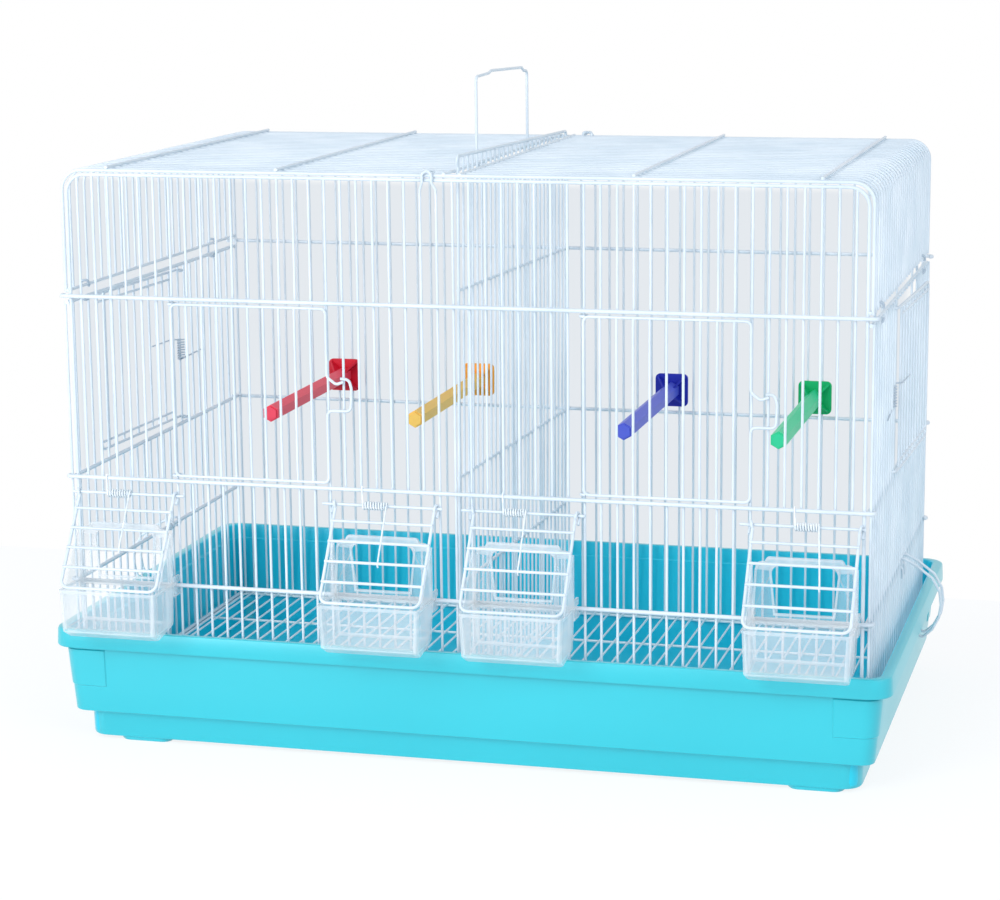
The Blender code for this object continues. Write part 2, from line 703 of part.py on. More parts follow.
def flap_mesh():
    """A ladder of wire in the flap's own plane, with an eye at the top of each leg."""
    half = FLAP_WIDTH / 2
    length = math.hypot(FLAP_FOOT_OUT - FLAP_HINGE_OUT, FLAP_HINGE_RISE - FLAP_FOOT_RISE)
    slope = flap_slope()
    edge = WIRE / 2
    eye_radius = 1.1 * MM + GAP + edge
    top = eye_radius - 0.4 * MM
    bars = [rectangle(u - edge, u + edge, -length - edge, -top) for u in (-half, half)]
    bars += [rectangle(-half - edge, half + edge, -v - edge, -v + edge)
             for v in spread(FIRST_RUNG_SHARE * length, length, FLAP_RUNGS - 1)]

    def place(u, v):
        return (u, v * math.sin(slope), v * math.cos(slope))

    flat = bpy.data.objects.new("flap", sheet_mesh("flap", bars, place))
    cutters.objects.link(flat)
    skin = flat.modifiers.new("wire_thickness", "SOLIDIFY")
    skin.thickness = WIRE
    skin.offset = 0
    eyes = []
    for u in (-half, half):
        points = [(u, y, z) for y, z in arc((0, 0), eye_radius, 0, 360, 8)[:-1]]
        eyes.append(wire_mesh("flap_eye", points, edge * 0.95, cyclic=True, resolution=0))
    return combine("feeder_flap", bake(flat), eyes)


def cup_mesh():
    """Clear cup with a tall windowed guard at its back and a side plate at each end."""
    half = CUP_WIDTH / 2
    front, back = -CUP_REACH, -CUP_BACK
    wall = CUP_WALL
    draft = 1.5 * MM

    def ring(side, low, high, front_z, back_z):
        return [(-side, low, front_z), (side, low, front_z), (side, high, back_z), (-side, high, back_z)]

    chamfer_z = -CUP_FRONT_BOTTOM + 6 * MM
    rings = [
        ring(half - 2 * MM, front + CUP_CHAMFER, back - 1 * MM, -CUP_FRONT_BOTTOM, -CUP_BACK_BOTTOM),
        ring(half - draft, front + 0.8 * MM, back, chamfer_z, -CUP_BACK_BOTTOM + 1 * MM),
        ring(half, front, back, CUP_TOP, CUP_TOP),
        ring(half - wall, front + wall, back - wall, CUP_TOP, CUP_TOP),
        ring(half - draft - wall, front + 0.8 * MM + wall, back - wall, chamfer_z + wall / 2,
             -CUP_BACK_BOTTOM + 2 * MM),
        ring(half - 2 * MM - wall, front + CUP_CHAMFER + wall / 2, back - 1 * MM - wall,
             -CUP_FRONT_BOTTOM + wall, -CUP_BACK_BOTTOM + wall),
    ]
    shell = loft("cup_shell", rings)
    upright_plane = Matrix.Translation((0, back - wall / 2, 0)) @ Matrix.Rotation(math.radians(90), 4, "X")
    guard = outline_mesh("cup_guard", [guard_outline(), window_outline()], wall, upright_plane)
    plates = [side_plate_mesh(side) for side in (-1, 1)]
    return combine("feeder_cup", shell, [guard, *plates])


def guard_outline():
    """The guard narrows upwards and has a raised middle."""
    low, shoulder = CUP_TOP - 5 * MM, GUARD_TOP - 3.8 * MM
    right = [(37.6 * MM, low), (37.6 * MM, 7 * MM), (35.6 * MM, shoulder - 4 * MM), (33.2 * MM, shoulder),
             (28.6 * MM, shoulder), (26.2 * MM, GUARD_TOP)]
    left = [(-u, v) for u, v in reversed(right)]
    return right + left


def window_outline():
    """The window that the bird feeds through, with round upper corners."""
    half, low, high, corner = 23.5 * MM, 6.5 * MM, GUARD_TOP - 6 * MM, 6 * MM
    points = [(-half + corner / 2, low), (half - corner / 2, low)]
    points += arc((half - corner, high - corner), corner, 0, 90, 3)
    points += arc((-half + corner, high - corner), corner, 90, 180, 3)
    return points


def side_plate_mesh(side):
    """A plate on the cup's end: a brace in front of the guard, and a lug notched to slip onto the lower rail."""
    rail_half = RAIL / 2 + GAP
    reach = 3.6 * MM
    outline = [(-CUP_BACK - 4 * MM, -8 * MM), (reach, -8 * MM), (reach, -rail_half), (-rail_half, -rail_half),
               (-rail_half, rail_half), (reach, rail_half), (reach, 7 * MM), (-CUP_BACK, 7 * MM),
               (-CUP_BACK - 0.6 * MM, 40 * MM), (-CUP_BACK - 2.6 * MM, 40 * MM), (-37.5 * MM, 4 * MM),
               (-37.5 * MM, 1 * MM), (-CUP_BACK - 4 * MM, 1 * MM)]
    across = CUP_WIDTH / 2 - 1.1 * MM
    plane = Matrix(((0, 0, 1, side * across), (1, 0, 0, 0), (0, 1, 0, 0), (0, 0, 0, 1)))
    return outline_mesh("cup_side_plate", [outline], 1.5 * MM, plane)


def make_feeders():
    """Hinge wire, flap and cup of each feeder."""
    flap = flap_mesh()
    cup = cup_mesh()
    for i in range(len(FEEDER_BAYS)):
        hinge = Vector((feeder_centre(i), FRONT_Y - FLAP_HINGE_OUT, LOWER_Z + FLAP_HINGE_RISE))
        start, end = (LEFT_X + u * MM for u in HINGE_WIRE_SPANS_MM[i])
        name = f"flap_hinge_wire_{i + 1}"
        ends = [(start, hinge.y, hinge.z), (end, hinge.y, hinge.z)]
        add(name, wire_curve(name, ends, 1.1 * MM), powder_coat(name))
        name = f"feeder_flap_{i + 1}"
        shift = Vector((FLAP_SHIFTS[i], 0, 0))
        add(name, flap.copy(), powder_coat(name), Matrix.Translation(hinge + shift))
        name = f"feeder_cup_{i + 1}"
        seat = Matrix.Translation((feeder_centre(i), FRONT_Y, LOWER_Z))
        add(name, cup.copy(), material(f"{name}_clear_polystyrene", CLEAR_PLASTIC, 0.1, alpha=0.35), seat)


# Perches, latches and handle

def make_perches():
    """Five-sided bars on square plates that stand against the back panel's wires."""
    plate_back = -SHEET / 2 - GAP
    half = PLATE_WIDTH / 2
    for name, u, rise, colour in PERCHES:
        corner = 4 * MM
        outline = []
        for side_u, side_v, turn in ((1, 1, 0), (-1, 1, 90), (-1, -1, 180), (1, -1, 270)):
            centre = (side_u * (half - corner), side_v * (half - corner))
            outline += arc(centre, corner, turn, turn + 90, 2)
        stand = Matrix.Translation((0, plate_back - PLATE_THICK / 2, 0))
        plate = outline_mesh("plate", [outline], PLATE_THICK, stand @ Matrix.Rotation(math.radians(90), 4, "X"))
        section = arc((0, 0), PERCH_ACROSS / 2, 90, 450, 5)[:-1]
        middle = Matrix.Translation((0, plate_back - PLATE_THICK + 1 * MM - PERCH_LENGTH / 2, 0))
        bar = outline_mesh("bar", [section], PERCH_LENGTH, middle @ Matrix.Rotation(math.radians(90), 4, "X"))
        perch = combine(name, plate, [bar])
        seat = Matrix.Translation((LEFT_X + u, BACK_Y, LOWER_Z + rise))
        add(name, perch, material(f"{name}_moulded_plastic", colour, 0.35), seat)


def make_tray_latches():
    """Double wire bails: hooked round the side panel's lower rail, bowed over the rim and under its lip."""
    reach = RAIL / 2 + GAP + HANDLE_WIRE
    tail = [(3.3, -11.5), (2.9, -5.5)]
    hook = [(x / MM, z / MM) for x, z in arc((0, 0), reach, 300, 80, 6)]
    arm = tail + hook + list(LATCH_BOW_MM)
    for side, sign in (("left", -1), ("right", 1)):
        points = [(x, LATCH_ARMS[0], z) for x, z in arm] + [(x, LATCH_ARMS[1], z) for x, z in reversed(arm)]
        path = [(sign * (-LEFT_X + x * MM), FRONT_Y + y, LOWER_Z + z * MM) for x, y, z in points]
        name = f"tray_latch_{side}"
        add(name, wire_curve(name, path, HANDLE_WIRE), powder_coat(name))


def make_carry_handle():
    """Wire bail whose feet hook round the left slot rail."""
    rail_x = -SLOT_HALF
    reach = RAIL / 2 + GAP + HANDLE_WIRE
    bow = [(rail_x - reach, FRONT_Y + y * MM, ROOF_Z + z * MM) for y, z in HANDLE_PATH_MM]
    hook = arc((rail_x, ROOF_Z), reach, -10, -180, 5)
    first = [(x, bow[0][1], z) for x, z in hook]
    second = [(x, bow[-1][1], z) for x, z in reversed(hook)]
    add("carry_handle", wire_curve("carry_handle", [*first, *bow, *second], HANDLE_WIRE),
        powder_coat("carry_handle"))


clear_scene()
parts = new_collection("bird_breeding_cage")
cutters = new_collection("cutters")
make_tray()
make_grate()
make_front_panel()
make_back_panel()
make_side_panels()
make_roof_unit()
make_divider()
make_ring_clips()
make_roof_hooks()
make_front_door("front_door_left", *DOOR_BAYS[0])
make_front_door("front_door_right", *DOOR_BAYS[1])
make_nest_doors()
make_nest_springs()
make_feeders()
make_flap_springs()
make_perches()
make_tray_latches()
make_carry_handle()
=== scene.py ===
"""Looks of the bird breeding cage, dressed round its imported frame."""

import json
import math

import bmesh
import bpy
from mathutils import Matrix, Vector

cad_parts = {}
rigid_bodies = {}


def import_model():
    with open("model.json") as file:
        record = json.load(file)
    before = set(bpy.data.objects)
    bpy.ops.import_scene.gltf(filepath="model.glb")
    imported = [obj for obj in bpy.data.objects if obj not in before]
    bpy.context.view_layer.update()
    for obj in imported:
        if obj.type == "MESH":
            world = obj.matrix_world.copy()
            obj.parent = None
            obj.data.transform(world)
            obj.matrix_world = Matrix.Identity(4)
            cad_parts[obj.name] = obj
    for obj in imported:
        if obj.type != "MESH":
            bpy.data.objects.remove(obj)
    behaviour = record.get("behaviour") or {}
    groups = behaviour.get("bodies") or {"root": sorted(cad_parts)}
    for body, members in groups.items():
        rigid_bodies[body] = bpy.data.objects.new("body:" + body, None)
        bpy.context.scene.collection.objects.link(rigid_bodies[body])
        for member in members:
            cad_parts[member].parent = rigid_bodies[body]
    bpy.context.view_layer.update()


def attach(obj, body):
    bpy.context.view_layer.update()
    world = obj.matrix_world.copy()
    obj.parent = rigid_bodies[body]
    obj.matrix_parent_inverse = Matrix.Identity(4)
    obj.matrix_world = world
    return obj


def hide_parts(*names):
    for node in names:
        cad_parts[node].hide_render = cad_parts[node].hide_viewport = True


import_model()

MM = 0.001

# Sizes of the cage in millimetres: u from its left wall, y from its front wall, z from its lower rail
WIDTH = 600
DEPTH = 347.4
CUP_REACH = 48.5
RIM_OVER_X = 18.7
RIM_OVER_Y = 12.7
BOTTOM = -96.8
MID = 80
UPPER = 217
DROP = 221
PANEL_TOP = 307.2
ROOF = 311
SIDE_TOP = 212

# The cage's own zero point in the model, in metres
ORIGIN = Vector((-WIDTH / 2 * MM, (CUP_REACH - (DEPTH + RIM_OVER_Y + CUP_REACH) / 2) * MM, 126.5 * MM))

# Wire thicknesses
WIRE = 2.0
RAIL = 3.0
FRAME_WIRE = 2.6
THIN_RAIL = 2.4
BENT_WIRE = 2.2
FINE_WIRE = 1.8
SPRING_WIRE = 1.25

# Where the wires stand, and how far they lie off the plane of their wall
BEHIND_RAIL = 2.1
FRONT_PITCH = 12
FRONT_GAPS = 50
BACK_GAPS = 50
SIDE_GAPS = 25
ROOF_GAPS = 26
BACK_PITCH = WIDTH / BACK_GAPS
SIDE_PITCH = DEPTH / SIDE_GAPS
ROOF_PITCH = DEPTH / ROOF_GAPS
END_WIRE = 3.6
SIDE_WIRE_OUT = 1.0
SIDE_RAIL_IN = 0.9
HOOK_WIRES = (23, 24)
BACK_HOOK_WIRES = (26, 27)

# Feeders and doors
FEEDER_BAYS = (0, 204, 312, 516)
FEEDER_SHIFTS = (1.5, 0, -1.8, -1.6)
FEEDER_WIDTH = 84
DOOR_BAYS = ((84, 204), (396, 516))
FLAP_SHIFTS = (0.3, 0.7, 0, -0.3)
HINGE_SPANS = ((0.5, 89.5), (198.8, 290), (305, 396.5), (509, 598))
LEG_LEANS = (0, 0, 0, 4)
SPRING_SPANS = ((29.3, 46.8), (230.5, 248.4), (336.9, 353.4), (548.8, 565.4))
HINGE_RISE = 68.5
HINGE_OUT = 2.8

# The quarters of a rectangle: the signs of its corner and the angle at which its arc starts
CORNERS = ((1, 1, 0), (-1, 1, 90), (-1, -1, 180), (1, -1, 270))


def at(u, y, z):
    """A place on the cage, from its own millimetres to the model's metres."""
    return ORIGIN + Vector((u, y, z)) * MM


# Colours and nodes

def srgb(colour):
    """An sRGB hex colour as linear values."""
    channels = [int(colour[i:i + 2], 16) / 255 for i in (0, 2, 4)]
    return (*[c / 12.92 if c <= 0.04045 else ((c + 0.055) / 1.055) ** 2.4 for c in channels], 1.0)


def node(tree, kind, inputs=None, **settings):
    """A node with its settings, and each input set to a value or linked to a socket."""
    made = tree.nodes.new(kind)
    for key, value in settings.items():
        setattr(made, key, value)
    for key, value in (inputs or {}).items():
        if isinstance(value, bpy.types.NodeSocket):
            tree.links.new(value, made.inputs[key])
        else:
            made.inputs[key].default_value = value
    return made


def shader_tree(name):
    """An empty material tree with its output."""
    made = bpy.data.materials.new(name)
    made.use_nodes = True
    made.node_tree.nodes.clear()
    return made, made.node_tree, node(made.node_tree, "ShaderNodeOutputMaterial")


def two_tone(tree, scale, light, dark, detail=3.0):
    """A colour that drifts between two tones, with noise of that scale per metre, and where it is read."""
    place = node(tree, "ShaderNodeTexCoord").outputs["Object"]
    noise = node(tree, "ShaderNodeTexNoise", {"Vector": place, "Scale": scale, "Detail": detail})
    share = node(tree, "ShaderNodeMapRange", {0: noise.outputs["Fac"], 1: 0.35, 2: 0.65})
    tone = node(tree, "ShaderNodeMix", {0: share.outputs[0], 6: srgb(dark), 7: srgb(light)}, data_type="RGBA")
    return tone.outputs[2], place


def powder_coated_steel(name, light="E6EEF5", dark="D9E4ED"):
    """White polyester powder, sprayed and baked on steel wire: satin, with a fine orange peel."""
    made, tree, output = shader_tree(name)
    tone, place = two_tone(tree, 20, light, dark)
    peel = node(tree, "ShaderNodeTexNoise", {"Vector": place, "Scale": 700, "Detail": 1.0})
    bump = node(tree, "ShaderNodeBump", {"Strength": 0.05, "Distance": 0.1 * MM,
                                        "Height": peel.outputs["Fac"]})
    shader = node(tree, "ShaderNodeBsdfPrincipled", {"Base Color": tone, "Roughness": 0.32, "IOR": 1.5,
                                                    "Normal": bump.outputs["Normal"]})
    tree.links.new(shader.outputs[0], output.inputs["Surface"])
    return made


def painted_spring_wire(name):
    """Spring steel, wound and then painted white with the cage: glossier, and mottled from curl to curl."""
    made, tree, output = shader_tree(name)
    tone, _ = two_tone(tree, 300, "F8FBFD", "E4EDF3")
    shader = node(tree, "ShaderNodeBsdfPrincipled", {"Base Color": tone, "Roughness": 0.25, "IOR": 1.5})
    tree.links.new(shader.outputs[0], output.inputs["Surface"])
    return made


def moulded_polypropylene(name, light, dark, roughness, coat=0.0, shine=0.5):
    """Dyed polypropylene from a polished mould: an even waxy gloss with faint flow clouds and sink marks."""
    made, tree, output = shader_tree(name)
    tone, place = two_tone(tree, 5, light, dark, detail=1.0)
    sink = node(tree, "ShaderNodeTexNoise", {"Vector": place, "Scale": 9, "Detail": 1.0})
    grain = node(tree, "ShaderNodeTexNoise", {"Vector": place, "Scale": 1400, "Detail": 2.0})
    low = node(tree, "ShaderNodeBump", {"Strength": 0.05, "Distance": 1.0 * MM,
                                       "Height": sink.outputs["Fac"]})
    fine = node(tree, "ShaderNodeBump", {"Strength": 0.06, "Distance": 0.1 * MM,
                                        "Height": grain.outputs["Fac"], "Normal": low.outputs["Normal"]})
    gloss = node(tree, "ShaderNodeMapRange", {0: sink.outputs["Fac"], 1: 0.3, 2: 0.7,
                                             3: roughness - 0.04, 4: roughness + 0.05})
    shader = node(tree, "ShaderNodeBsdfPrincipled", {"Base Color": tone, "Roughness": gloss.outputs[0],
                                                    "IOR": 1.49, "Coat Weight": coat, "Coat Roughness": 0.45,
                                                    "Specular IOR Level": shine,
                                                    "Normal": fine.outputs["Normal"]})
    tree.links.new(shader.outputs[0], output.inputs["Surface"])
    return made


def clear_polystyrene(name, face_on, edge_on):
    """Crystal polystyrene, injection moulded: clear face-on, milky where it is seen along its length."""
    made, tree, output = shader_tree(name)
    tone, place = two_tone(tree, 30, "FFFFFF", "EEF6FB", detail=1.0)
    wave = node(tree, "ShaderNodeTexNoise", {"Vector": place, "Scale": 60, "Detail": 1.0})
    bump = node(tree, "ShaderNodeBump", {"Strength": 0.1, "Distance": 0.4 * MM,
                                        "Height": wave.outputs["Fac"]})
    edge = node(tree, "ShaderNodeLayerWeight", {"Blend": 0.3})
    cover = node(tree, "ShaderNodeMapRange", {0: edge.outputs["Facing"], 1: 0.3, 2: 1.0,
                                             3: face_on, 4: edge_on})
    shader = node(tree, "ShaderNodeBsdfPrincipled", {"Base Color": tone, "Roughness": 0.12, "IOR": 1.5,
                                                    "Alpha": cover.outputs[0],
                                                    "Normal": bump.outputs["Normal"]})
    tree.links.new(shader.outputs[0], output.inputs["Surface"])
    return made


# Bent wire: a path, swept round, with round bends, repeated at even steps

def bent_wire_tree():
    """Sweeps a round wire along a path with round bends, and repeats it along a row."""
    tree = bpy.data.node_groups.new("bent_wire_row", "GeometryNodeTree")
    sockets = (("Path", "NodeSocketGeometry"), ("Copies", "NodeSocketInt"), ("Step", "NodeSocketVector"),
               ("Wire Diameter", "NodeSocketFloat"), ("Bend Radius", "NodeSocketFloat"),
               ("Bend Steps", "NodeSocketInt"), ("Sides", "NodeSocketInt"), ("Finish", "NodeSocketMaterial"))
    for name, kind in sockets:
        tree.interface.new_socket(name, in_out="INPUT", socket_type=kind)
    tree.interface.new_socket("Wires", in_out="OUTPUT", socket_type="NodeSocketGeometry")
    given = node(tree, "NodeGroupInput").outputs
    line = node(tree, "GeometryNodeMeshToCurve", {"Mesh": given["Path"]})
    bent = node(tree, "GeometryNodeFilletCurve", {"Curve": line.outputs[0], "Radius": given["Bend Radius"],
                                                 "Count": given["Bend Steps"], "Limit Radius": True},
                mode="POLY")
    sharp = node(tree, "FunctionNodeCompare", {0: given["Bend Radius"], 1: 0.0}, operation="GREATER_THAN")
    path = node(tree, "GeometryNodeSwitch", {"Switch": sharp.outputs[0], "False": line.outputs[0],
                                            "True": bent.outputs[0]}, input_type="GEOMETRY")
    half = node(tree, "ShaderNodeMath", {0: given["Wire Diameter"], 1: 0.5}, operation="MULTIPLY")
    section = node(tree, "GeometryNodeCurvePrimitiveCircle", {"Resolution": given["Sides"],
                                                             "Radius": half.outputs[0]})
    swept = node(tree, "GeometryNodeCurveToMesh", {"Curve": path.outputs[0],
                                                  "Profile Curve": section.outputs[0], "Fill Caps": True})
    round_wire = node(tree, "GeometryNodeSetShadeSmooth", {"Geometry": swept.outputs[0]})
    row = node(tree, "GeometryNodeMeshLine", {"Count": given["Copies"], "Offset": given["Step"]})
    placed = node(tree, "GeometryNodeInstanceOnPoints", {"Points": row.outputs[0],
                                                        "Instance": round_wire.outputs[0]})
    real = node(tree, "GeometryNodeRealizeInstances", {"Geometry": placed.outputs[0]})
    coated = node(tree, "GeometryNodeSetMaterial", {"Geometry": real.outputs[0], "Material": given["Finish"]})
    node(tree, "NodeGroupOutput", {"Wires": coated.outputs[0]})
    return tree


WIRE_TREE = bent_wire_tree()


def path_mesh(points, closed):
    """A mesh of edges alone, from point to point."""
    mesh = bpy.data.meshes.new("wire_path")
    edges = [(i, i + 1) for i in range(len(points) - 1)]
    if closed:
        edges.append((len(points) - 1, 0))
    mesh.from_pydata([tuple(p) for p in points], edges, [])
    return mesh


def wires(points, diameter=WIRE, bend=0, copies=1, step=(0, 0, 0), closed=False, sides=8, bend_steps=6):
    """One run of bent wire in millimetres, and how it repeats."""
    return {"points": points, "diameter": diameter, "bend": bend, "copies": copies, "step": step,
            "closed": closed, "sides": sides, "bend_steps": bend_steps}


def swept_run(run, finish, place):
    """The mesh that the wire tree makes of one run."""
    carrier = bpy.data.objects.new("wire_run", path_mesh([place(*p) for p in run["points"]], run["closed"]))
    bpy.context.scene.collection.objects.link(carrier)
    modifier = carrier.modifiers.new("bent_wire_row", "NODES")
    modifier.node_group = WIRE_TREE
    zero = place(0, 0, 0)
    values = {"Copies": run["copies"], "Step": place(*run["step"]) - zero,
              "Wire Diameter": run["diameter"] * MM, "Bend Radius": run["bend"] * MM,
              "Bend Steps": run["bend_steps"], "Sides": run["sides"], "Finish": finish}
    for item in WIRE_TREE.interface.items_tree:
        if item.in_out == "INPUT" and item.name in values:
            modifier[item.identifier] = values[item.name]
    bpy.context.view_layer.update()
    evaluated = carrier.evaluated_get(bpy.context.evaluated_depsgraph_get())
    made = bpy.data.meshes.new_from_object(evaluated)
    bpy.data.objects.remove(carrier)
    return made


def wire_piece(name, runs, finish, place=at):
    """One piece of wirework from its runs."""
    whole = bmesh.new()
    for run in runs:
        part = swept_run(run, finish, place)
        whole.from_mesh(part)
        bpy.data.meshes.remove(part)
    bmesh.ops.recalc_face_normals(whole, faces=whole.faces)
    return mesh_piece(name, whole, finish)


def mesh_piece(name, mesh, finish):
    """An object of that mesh, all of it in one finish."""
    data = bpy.data.meshes.new(name)
    mesh.to_mesh(data)
    mesh.free()
    data.materials.clear()
    data.materials.append(finish)
    made = bpy.data.objects.new(name, data)
    bpy.context.scene.collection.objects.link(made)
    return made


def fit(piece, body, slot, *nodes):
    """Rides the piece on its body and hides the CAD nodes it stands for; the slot is not used."""
    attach(piece, body)
    if nodes:
        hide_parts(*nodes)
    return piece


def arc(centre, radius, start, end, steps):
    """Points of an arc in a plane, by angle in degrees."""
    angles = [math.radians(start + (end - start) * i / steps) for i in range(steps + 1)]
    return [(centre[0] + radius * math.cos(a), centre[1] + radius * math.sin(a)) for a in angles]


# Camera, room and lamps

CAMERA_PLACE = (0.524556, -1.972791, 0.617333)
CAMERA_YAW, CAMERA_PITCH, CAMERA_ROLL = -0.264015183, 0.197739218, -0.00990547938
CAMERA_LENS = 95.92


def make_camera():
    """The photograph's view: a long lens, from the right and a little above."""
    yaw, pitch, roll = CAMERA_YAW, CAMERA_PITCH, CAMERA_ROLL
    forward = Vector((math.sin(yaw) * math.cos(pitch), math.cos(yaw) * math.cos(pitch), -math.sin(pitch)))
    level = Vector((math.cos(yaw), -math.sin(yaw), 0))
    rise = level.cross(forward)
    right = math.cos(roll) * level + math.sin(roll) * rise
    up = -math.sin(roll) * level + math.cos(roll) * rise
    data = bpy.data.cameras.new("studio_camera")
    data.sensor_width = 36
    data.sensor_fit = "HORIZONTAL"
    data.lens = CAMERA_LENS
    data.clip_end = 200
    camera = bpy.data.objects.new("studio_camera", data)
    turn = Matrix((right, up, -forward)).transposed().to_4x4()
    camera.matrix_world = Matrix.Translation(CAMERA_PLACE) @ turn
    bpy.context.scene.collection.objects.link(camera)
    bpy.context.scene.camera = camera


def calculated(tree, operation, first, second):
    """The outcome of a sum on two values."""
    return node(tree, "ShaderNodeMath", {0: first, 1: second}, operation=operation).outputs[0]


def seen_white(tree):
    """One where a camera, mirror or glass ray looks, so that the background shows white there."""
    rays = node(tree, "ShaderNodeLightPath").outputs
    shiny = calculated(tree, "MAXIMUM", rays["Is Camera Ray"], rays["Is Glossy Ray"])
    return calculated(tree, "MAXIMUM", shiny, rays["Is Transmission Ray"])


def between_edges(tree, value, low, high, soft):
    """One where the value lies between two edges, falling softly to nought beyond them."""
    rise = node(tree, "ShaderNodeMapRange", {0: value, 1: low, 2: low + soft},
                interpolation_type="SMOOTHSTEP")
    fall = node(tree, "ShaderNodeMapRange", {0: value, 1: high - soft, 2: high, 3: 1.0, 4: 0.0},
                interpolation_type="SMOOTHSTEP")
    return calculated(tree, "MULTIPLY", rise.outputs[0], fall.outputs[0])


# The edges of the painted shade behind the cage, a pale grey patch in the background, as slopes of the view
# from its middle line: across for the sides, down for the ends
SHADE_PATCH_LEFT, SHADE_PATCH_RIGHT, SHADE_PATCH_TOP, SHADE_PATCH_FOOT = -0.4535, -0.108, -0.1, -0.5


def painted_shade_share(tree):
    """Where the painted shade behind the cage lies in the background, from the slope of the view across and
    down to it.
    """
    looking = node(tree, "ShaderNodeTexCoord").outputs["Object"]
    way = node(tree, "ShaderNodeSeparateXYZ", {0: looking}).outputs
    ahead = calculated(tree, "MAXIMUM", way["Y"], 0.001)
    across = calculated(tree, "DIVIDE", way["X"], ahead)
    down = calculated(tree, "DIVIDE", way["Z"], ahead)
    wide = between_edges(tree, across, SHADE_PATCH_LEFT, SHADE_PATCH_RIGHT, 0.005)
    high = between_edges(tree, down, SHADE_PATCH_FOOT, SHADE_PATCH_TOP, 0.004)
    return calculated(tree, "MULTIPLY", wide, high)


ROOM_LIGHT = 0.66
FLOOR_GLOW = 1.08
FLOOR_GLOW_SHARE = 0.78
FLOOR_MIDDLE = (0, -0.49, 0)
FLOOR_HALF_SIZE = (1.6, 0.91, 1, 1)


def make_room():
    """Soft even room light, a white background with a pale grey patch of painted shade seen behind the cage,
    and a floor that takes a faint shadow.
    """
    world = bpy.data.worlds.new("studio_room")
    bpy.context.scene.world = world
    world.use_nodes = True
    tree = world.node_tree
    tree.nodes.clear()
    room = node(tree, "ShaderNodeBackground", {"Color": srgb("E4EEF8"), "Strength": ROOM_LIGHT})
    # The background seen behind the cage is painted pale grey there: painted shade.
    tone = node(tree, "ShaderNodeMix", {0: painted_shade_share(tree), 6: (1, 1, 1, 1), 7: srgb("E5EAEF")},
                data_type="RGBA")
    white = node(tree, "ShaderNodeBackground", {"Color": tone.outputs[2], "Strength": 1.0})
    mixed = node(tree, "ShaderNodeMixShader", {0: seen_white(tree), 1: room.outputs[0], 2: white.outputs[0]})
    node(tree, "ShaderNodeOutputWorld", {"Surface": mixed.outputs[0]})

    paper, tree, output = shader_tree("white_backdrop_paper")
    matt = node(tree, "ShaderNodeBsdfDiffuse", {"Color": srgb("F4F6F8")})
    glow = node(tree, "ShaderNodeEmission", {"Color": (1, 1, 1, 1), "Strength": FLOOR_GLOW})
    share = calculated(tree, "MULTIPLY", seen_white(tree), FLOOR_GLOW_SHARE)
    mixed = node(tree, "ShaderNodeMixShader", {0: share, 1: matt.outputs[0], 2: glow.outputs[0]})
    tree.links.new(mixed.outputs[0], output.inputs["Surface"])
    sheet = bmesh.new()
    bmesh.ops.create_grid(sheet, x_segments=1, y_segments=1, size=1.0)
    spread = Matrix.Translation(FLOOR_MIDDLE) @ Matrix.Diagonal(FLOOR_HALF_SIZE)
    bmesh.ops.transform(sheet, matrix=spread, verts=sheet.verts)
    floor = mesh_piece("backdrop_floor", sheet, paper)


def softbox(name, place, target, size, watts, colour):
    """A rectangular lamp that faces a target."""
    data = bpy.data.lights.new(name, "AREA")
    data.shape = "RECTANGLE"
    data.size, data.size_y = size
    data.energy = watts
    data.color = srgb(colour)[:3]
    lamp = bpy.data.objects.new(name, data)
    lamp.location = place
    lamp.rotation_euler = (Vector(target) - Vector(place)).to_track_quat("-Z", "Y").to_euler()
    bpy.context.scene.collection.objects.link(lamp)


def make_lamps():
    """A key from the left, a low lamp for the tray's front, and a fill from the right."""
    softbox("key_softbox", (-0.9, -2.6, 1.7), (0, 0, 0.2), (1.5, 1.1), 33, "FFFFFF")
    softbox("low_softbox", (-1.35, -2.1, 0.3), (-0.1, 0, 0.05), (1.0, 0.5), 15, "FFFFFF")
    softbox("fill_softbox", (2.2, -1.5, 1.4), (0, 0, 0.2), (1.4, 1.0), 18, "F4FAFF")


# Finishes

WHITE_WIRE = powder_coated_steel("white_powder_coated_wire")
# The grate's wire is the same white powder coat, painted brighter for the light on it down in the tray:
# painted light.
LIT_GRATE_WIRE = powder_coated_steel("white_powder_coated_wire_painted_bright_for_the_grate", "FAFCFE", "F0F5FA")
# A copy of the white wire for the side walls and divider, kept for their painted shade; its tones now differ
# from the front wire's by a hair.
SHADE_COPY_WIRE = powder_coated_steel("white_powder_coated_wire_painted_shade_copy", "E6EFF6", "D8E4ED")
FAR_WIRE = powder_coated_steel("white_powder_coated_wire_in_shade", "EEF3F8", "E2EAF1")
SPRING_STEEL = painted_spring_wire("painted_spring_wire")
BARE_STEEL = powder_coated_steel("thinly_coated_clip_wire", "CFDAE4", "A9B9C8")
TRAY_PLASTIC = moulded_polypropylene("turquoise_moulded_polypropylene", "1CC5D4", "16C0CF", 0.34, 0.9)
# The tray's basin is the same plastic, purer in colour where light comes in through its thin wall
BASIN_PLASTIC = moulded_polypropylene("turquoise_polypropylene_lit_through_its_wall", "04D0E8", "02C8E2",
                                      0.34, 0.5)
CLEAR_PLASTIC = clear_polystyrene("clear_moulded_polystyrene", 0.14, 0.78)
CLEAR_EDGE = clear_polystyrene("polystyrene_edge_that_gathers_light", 0.4, 0.75)
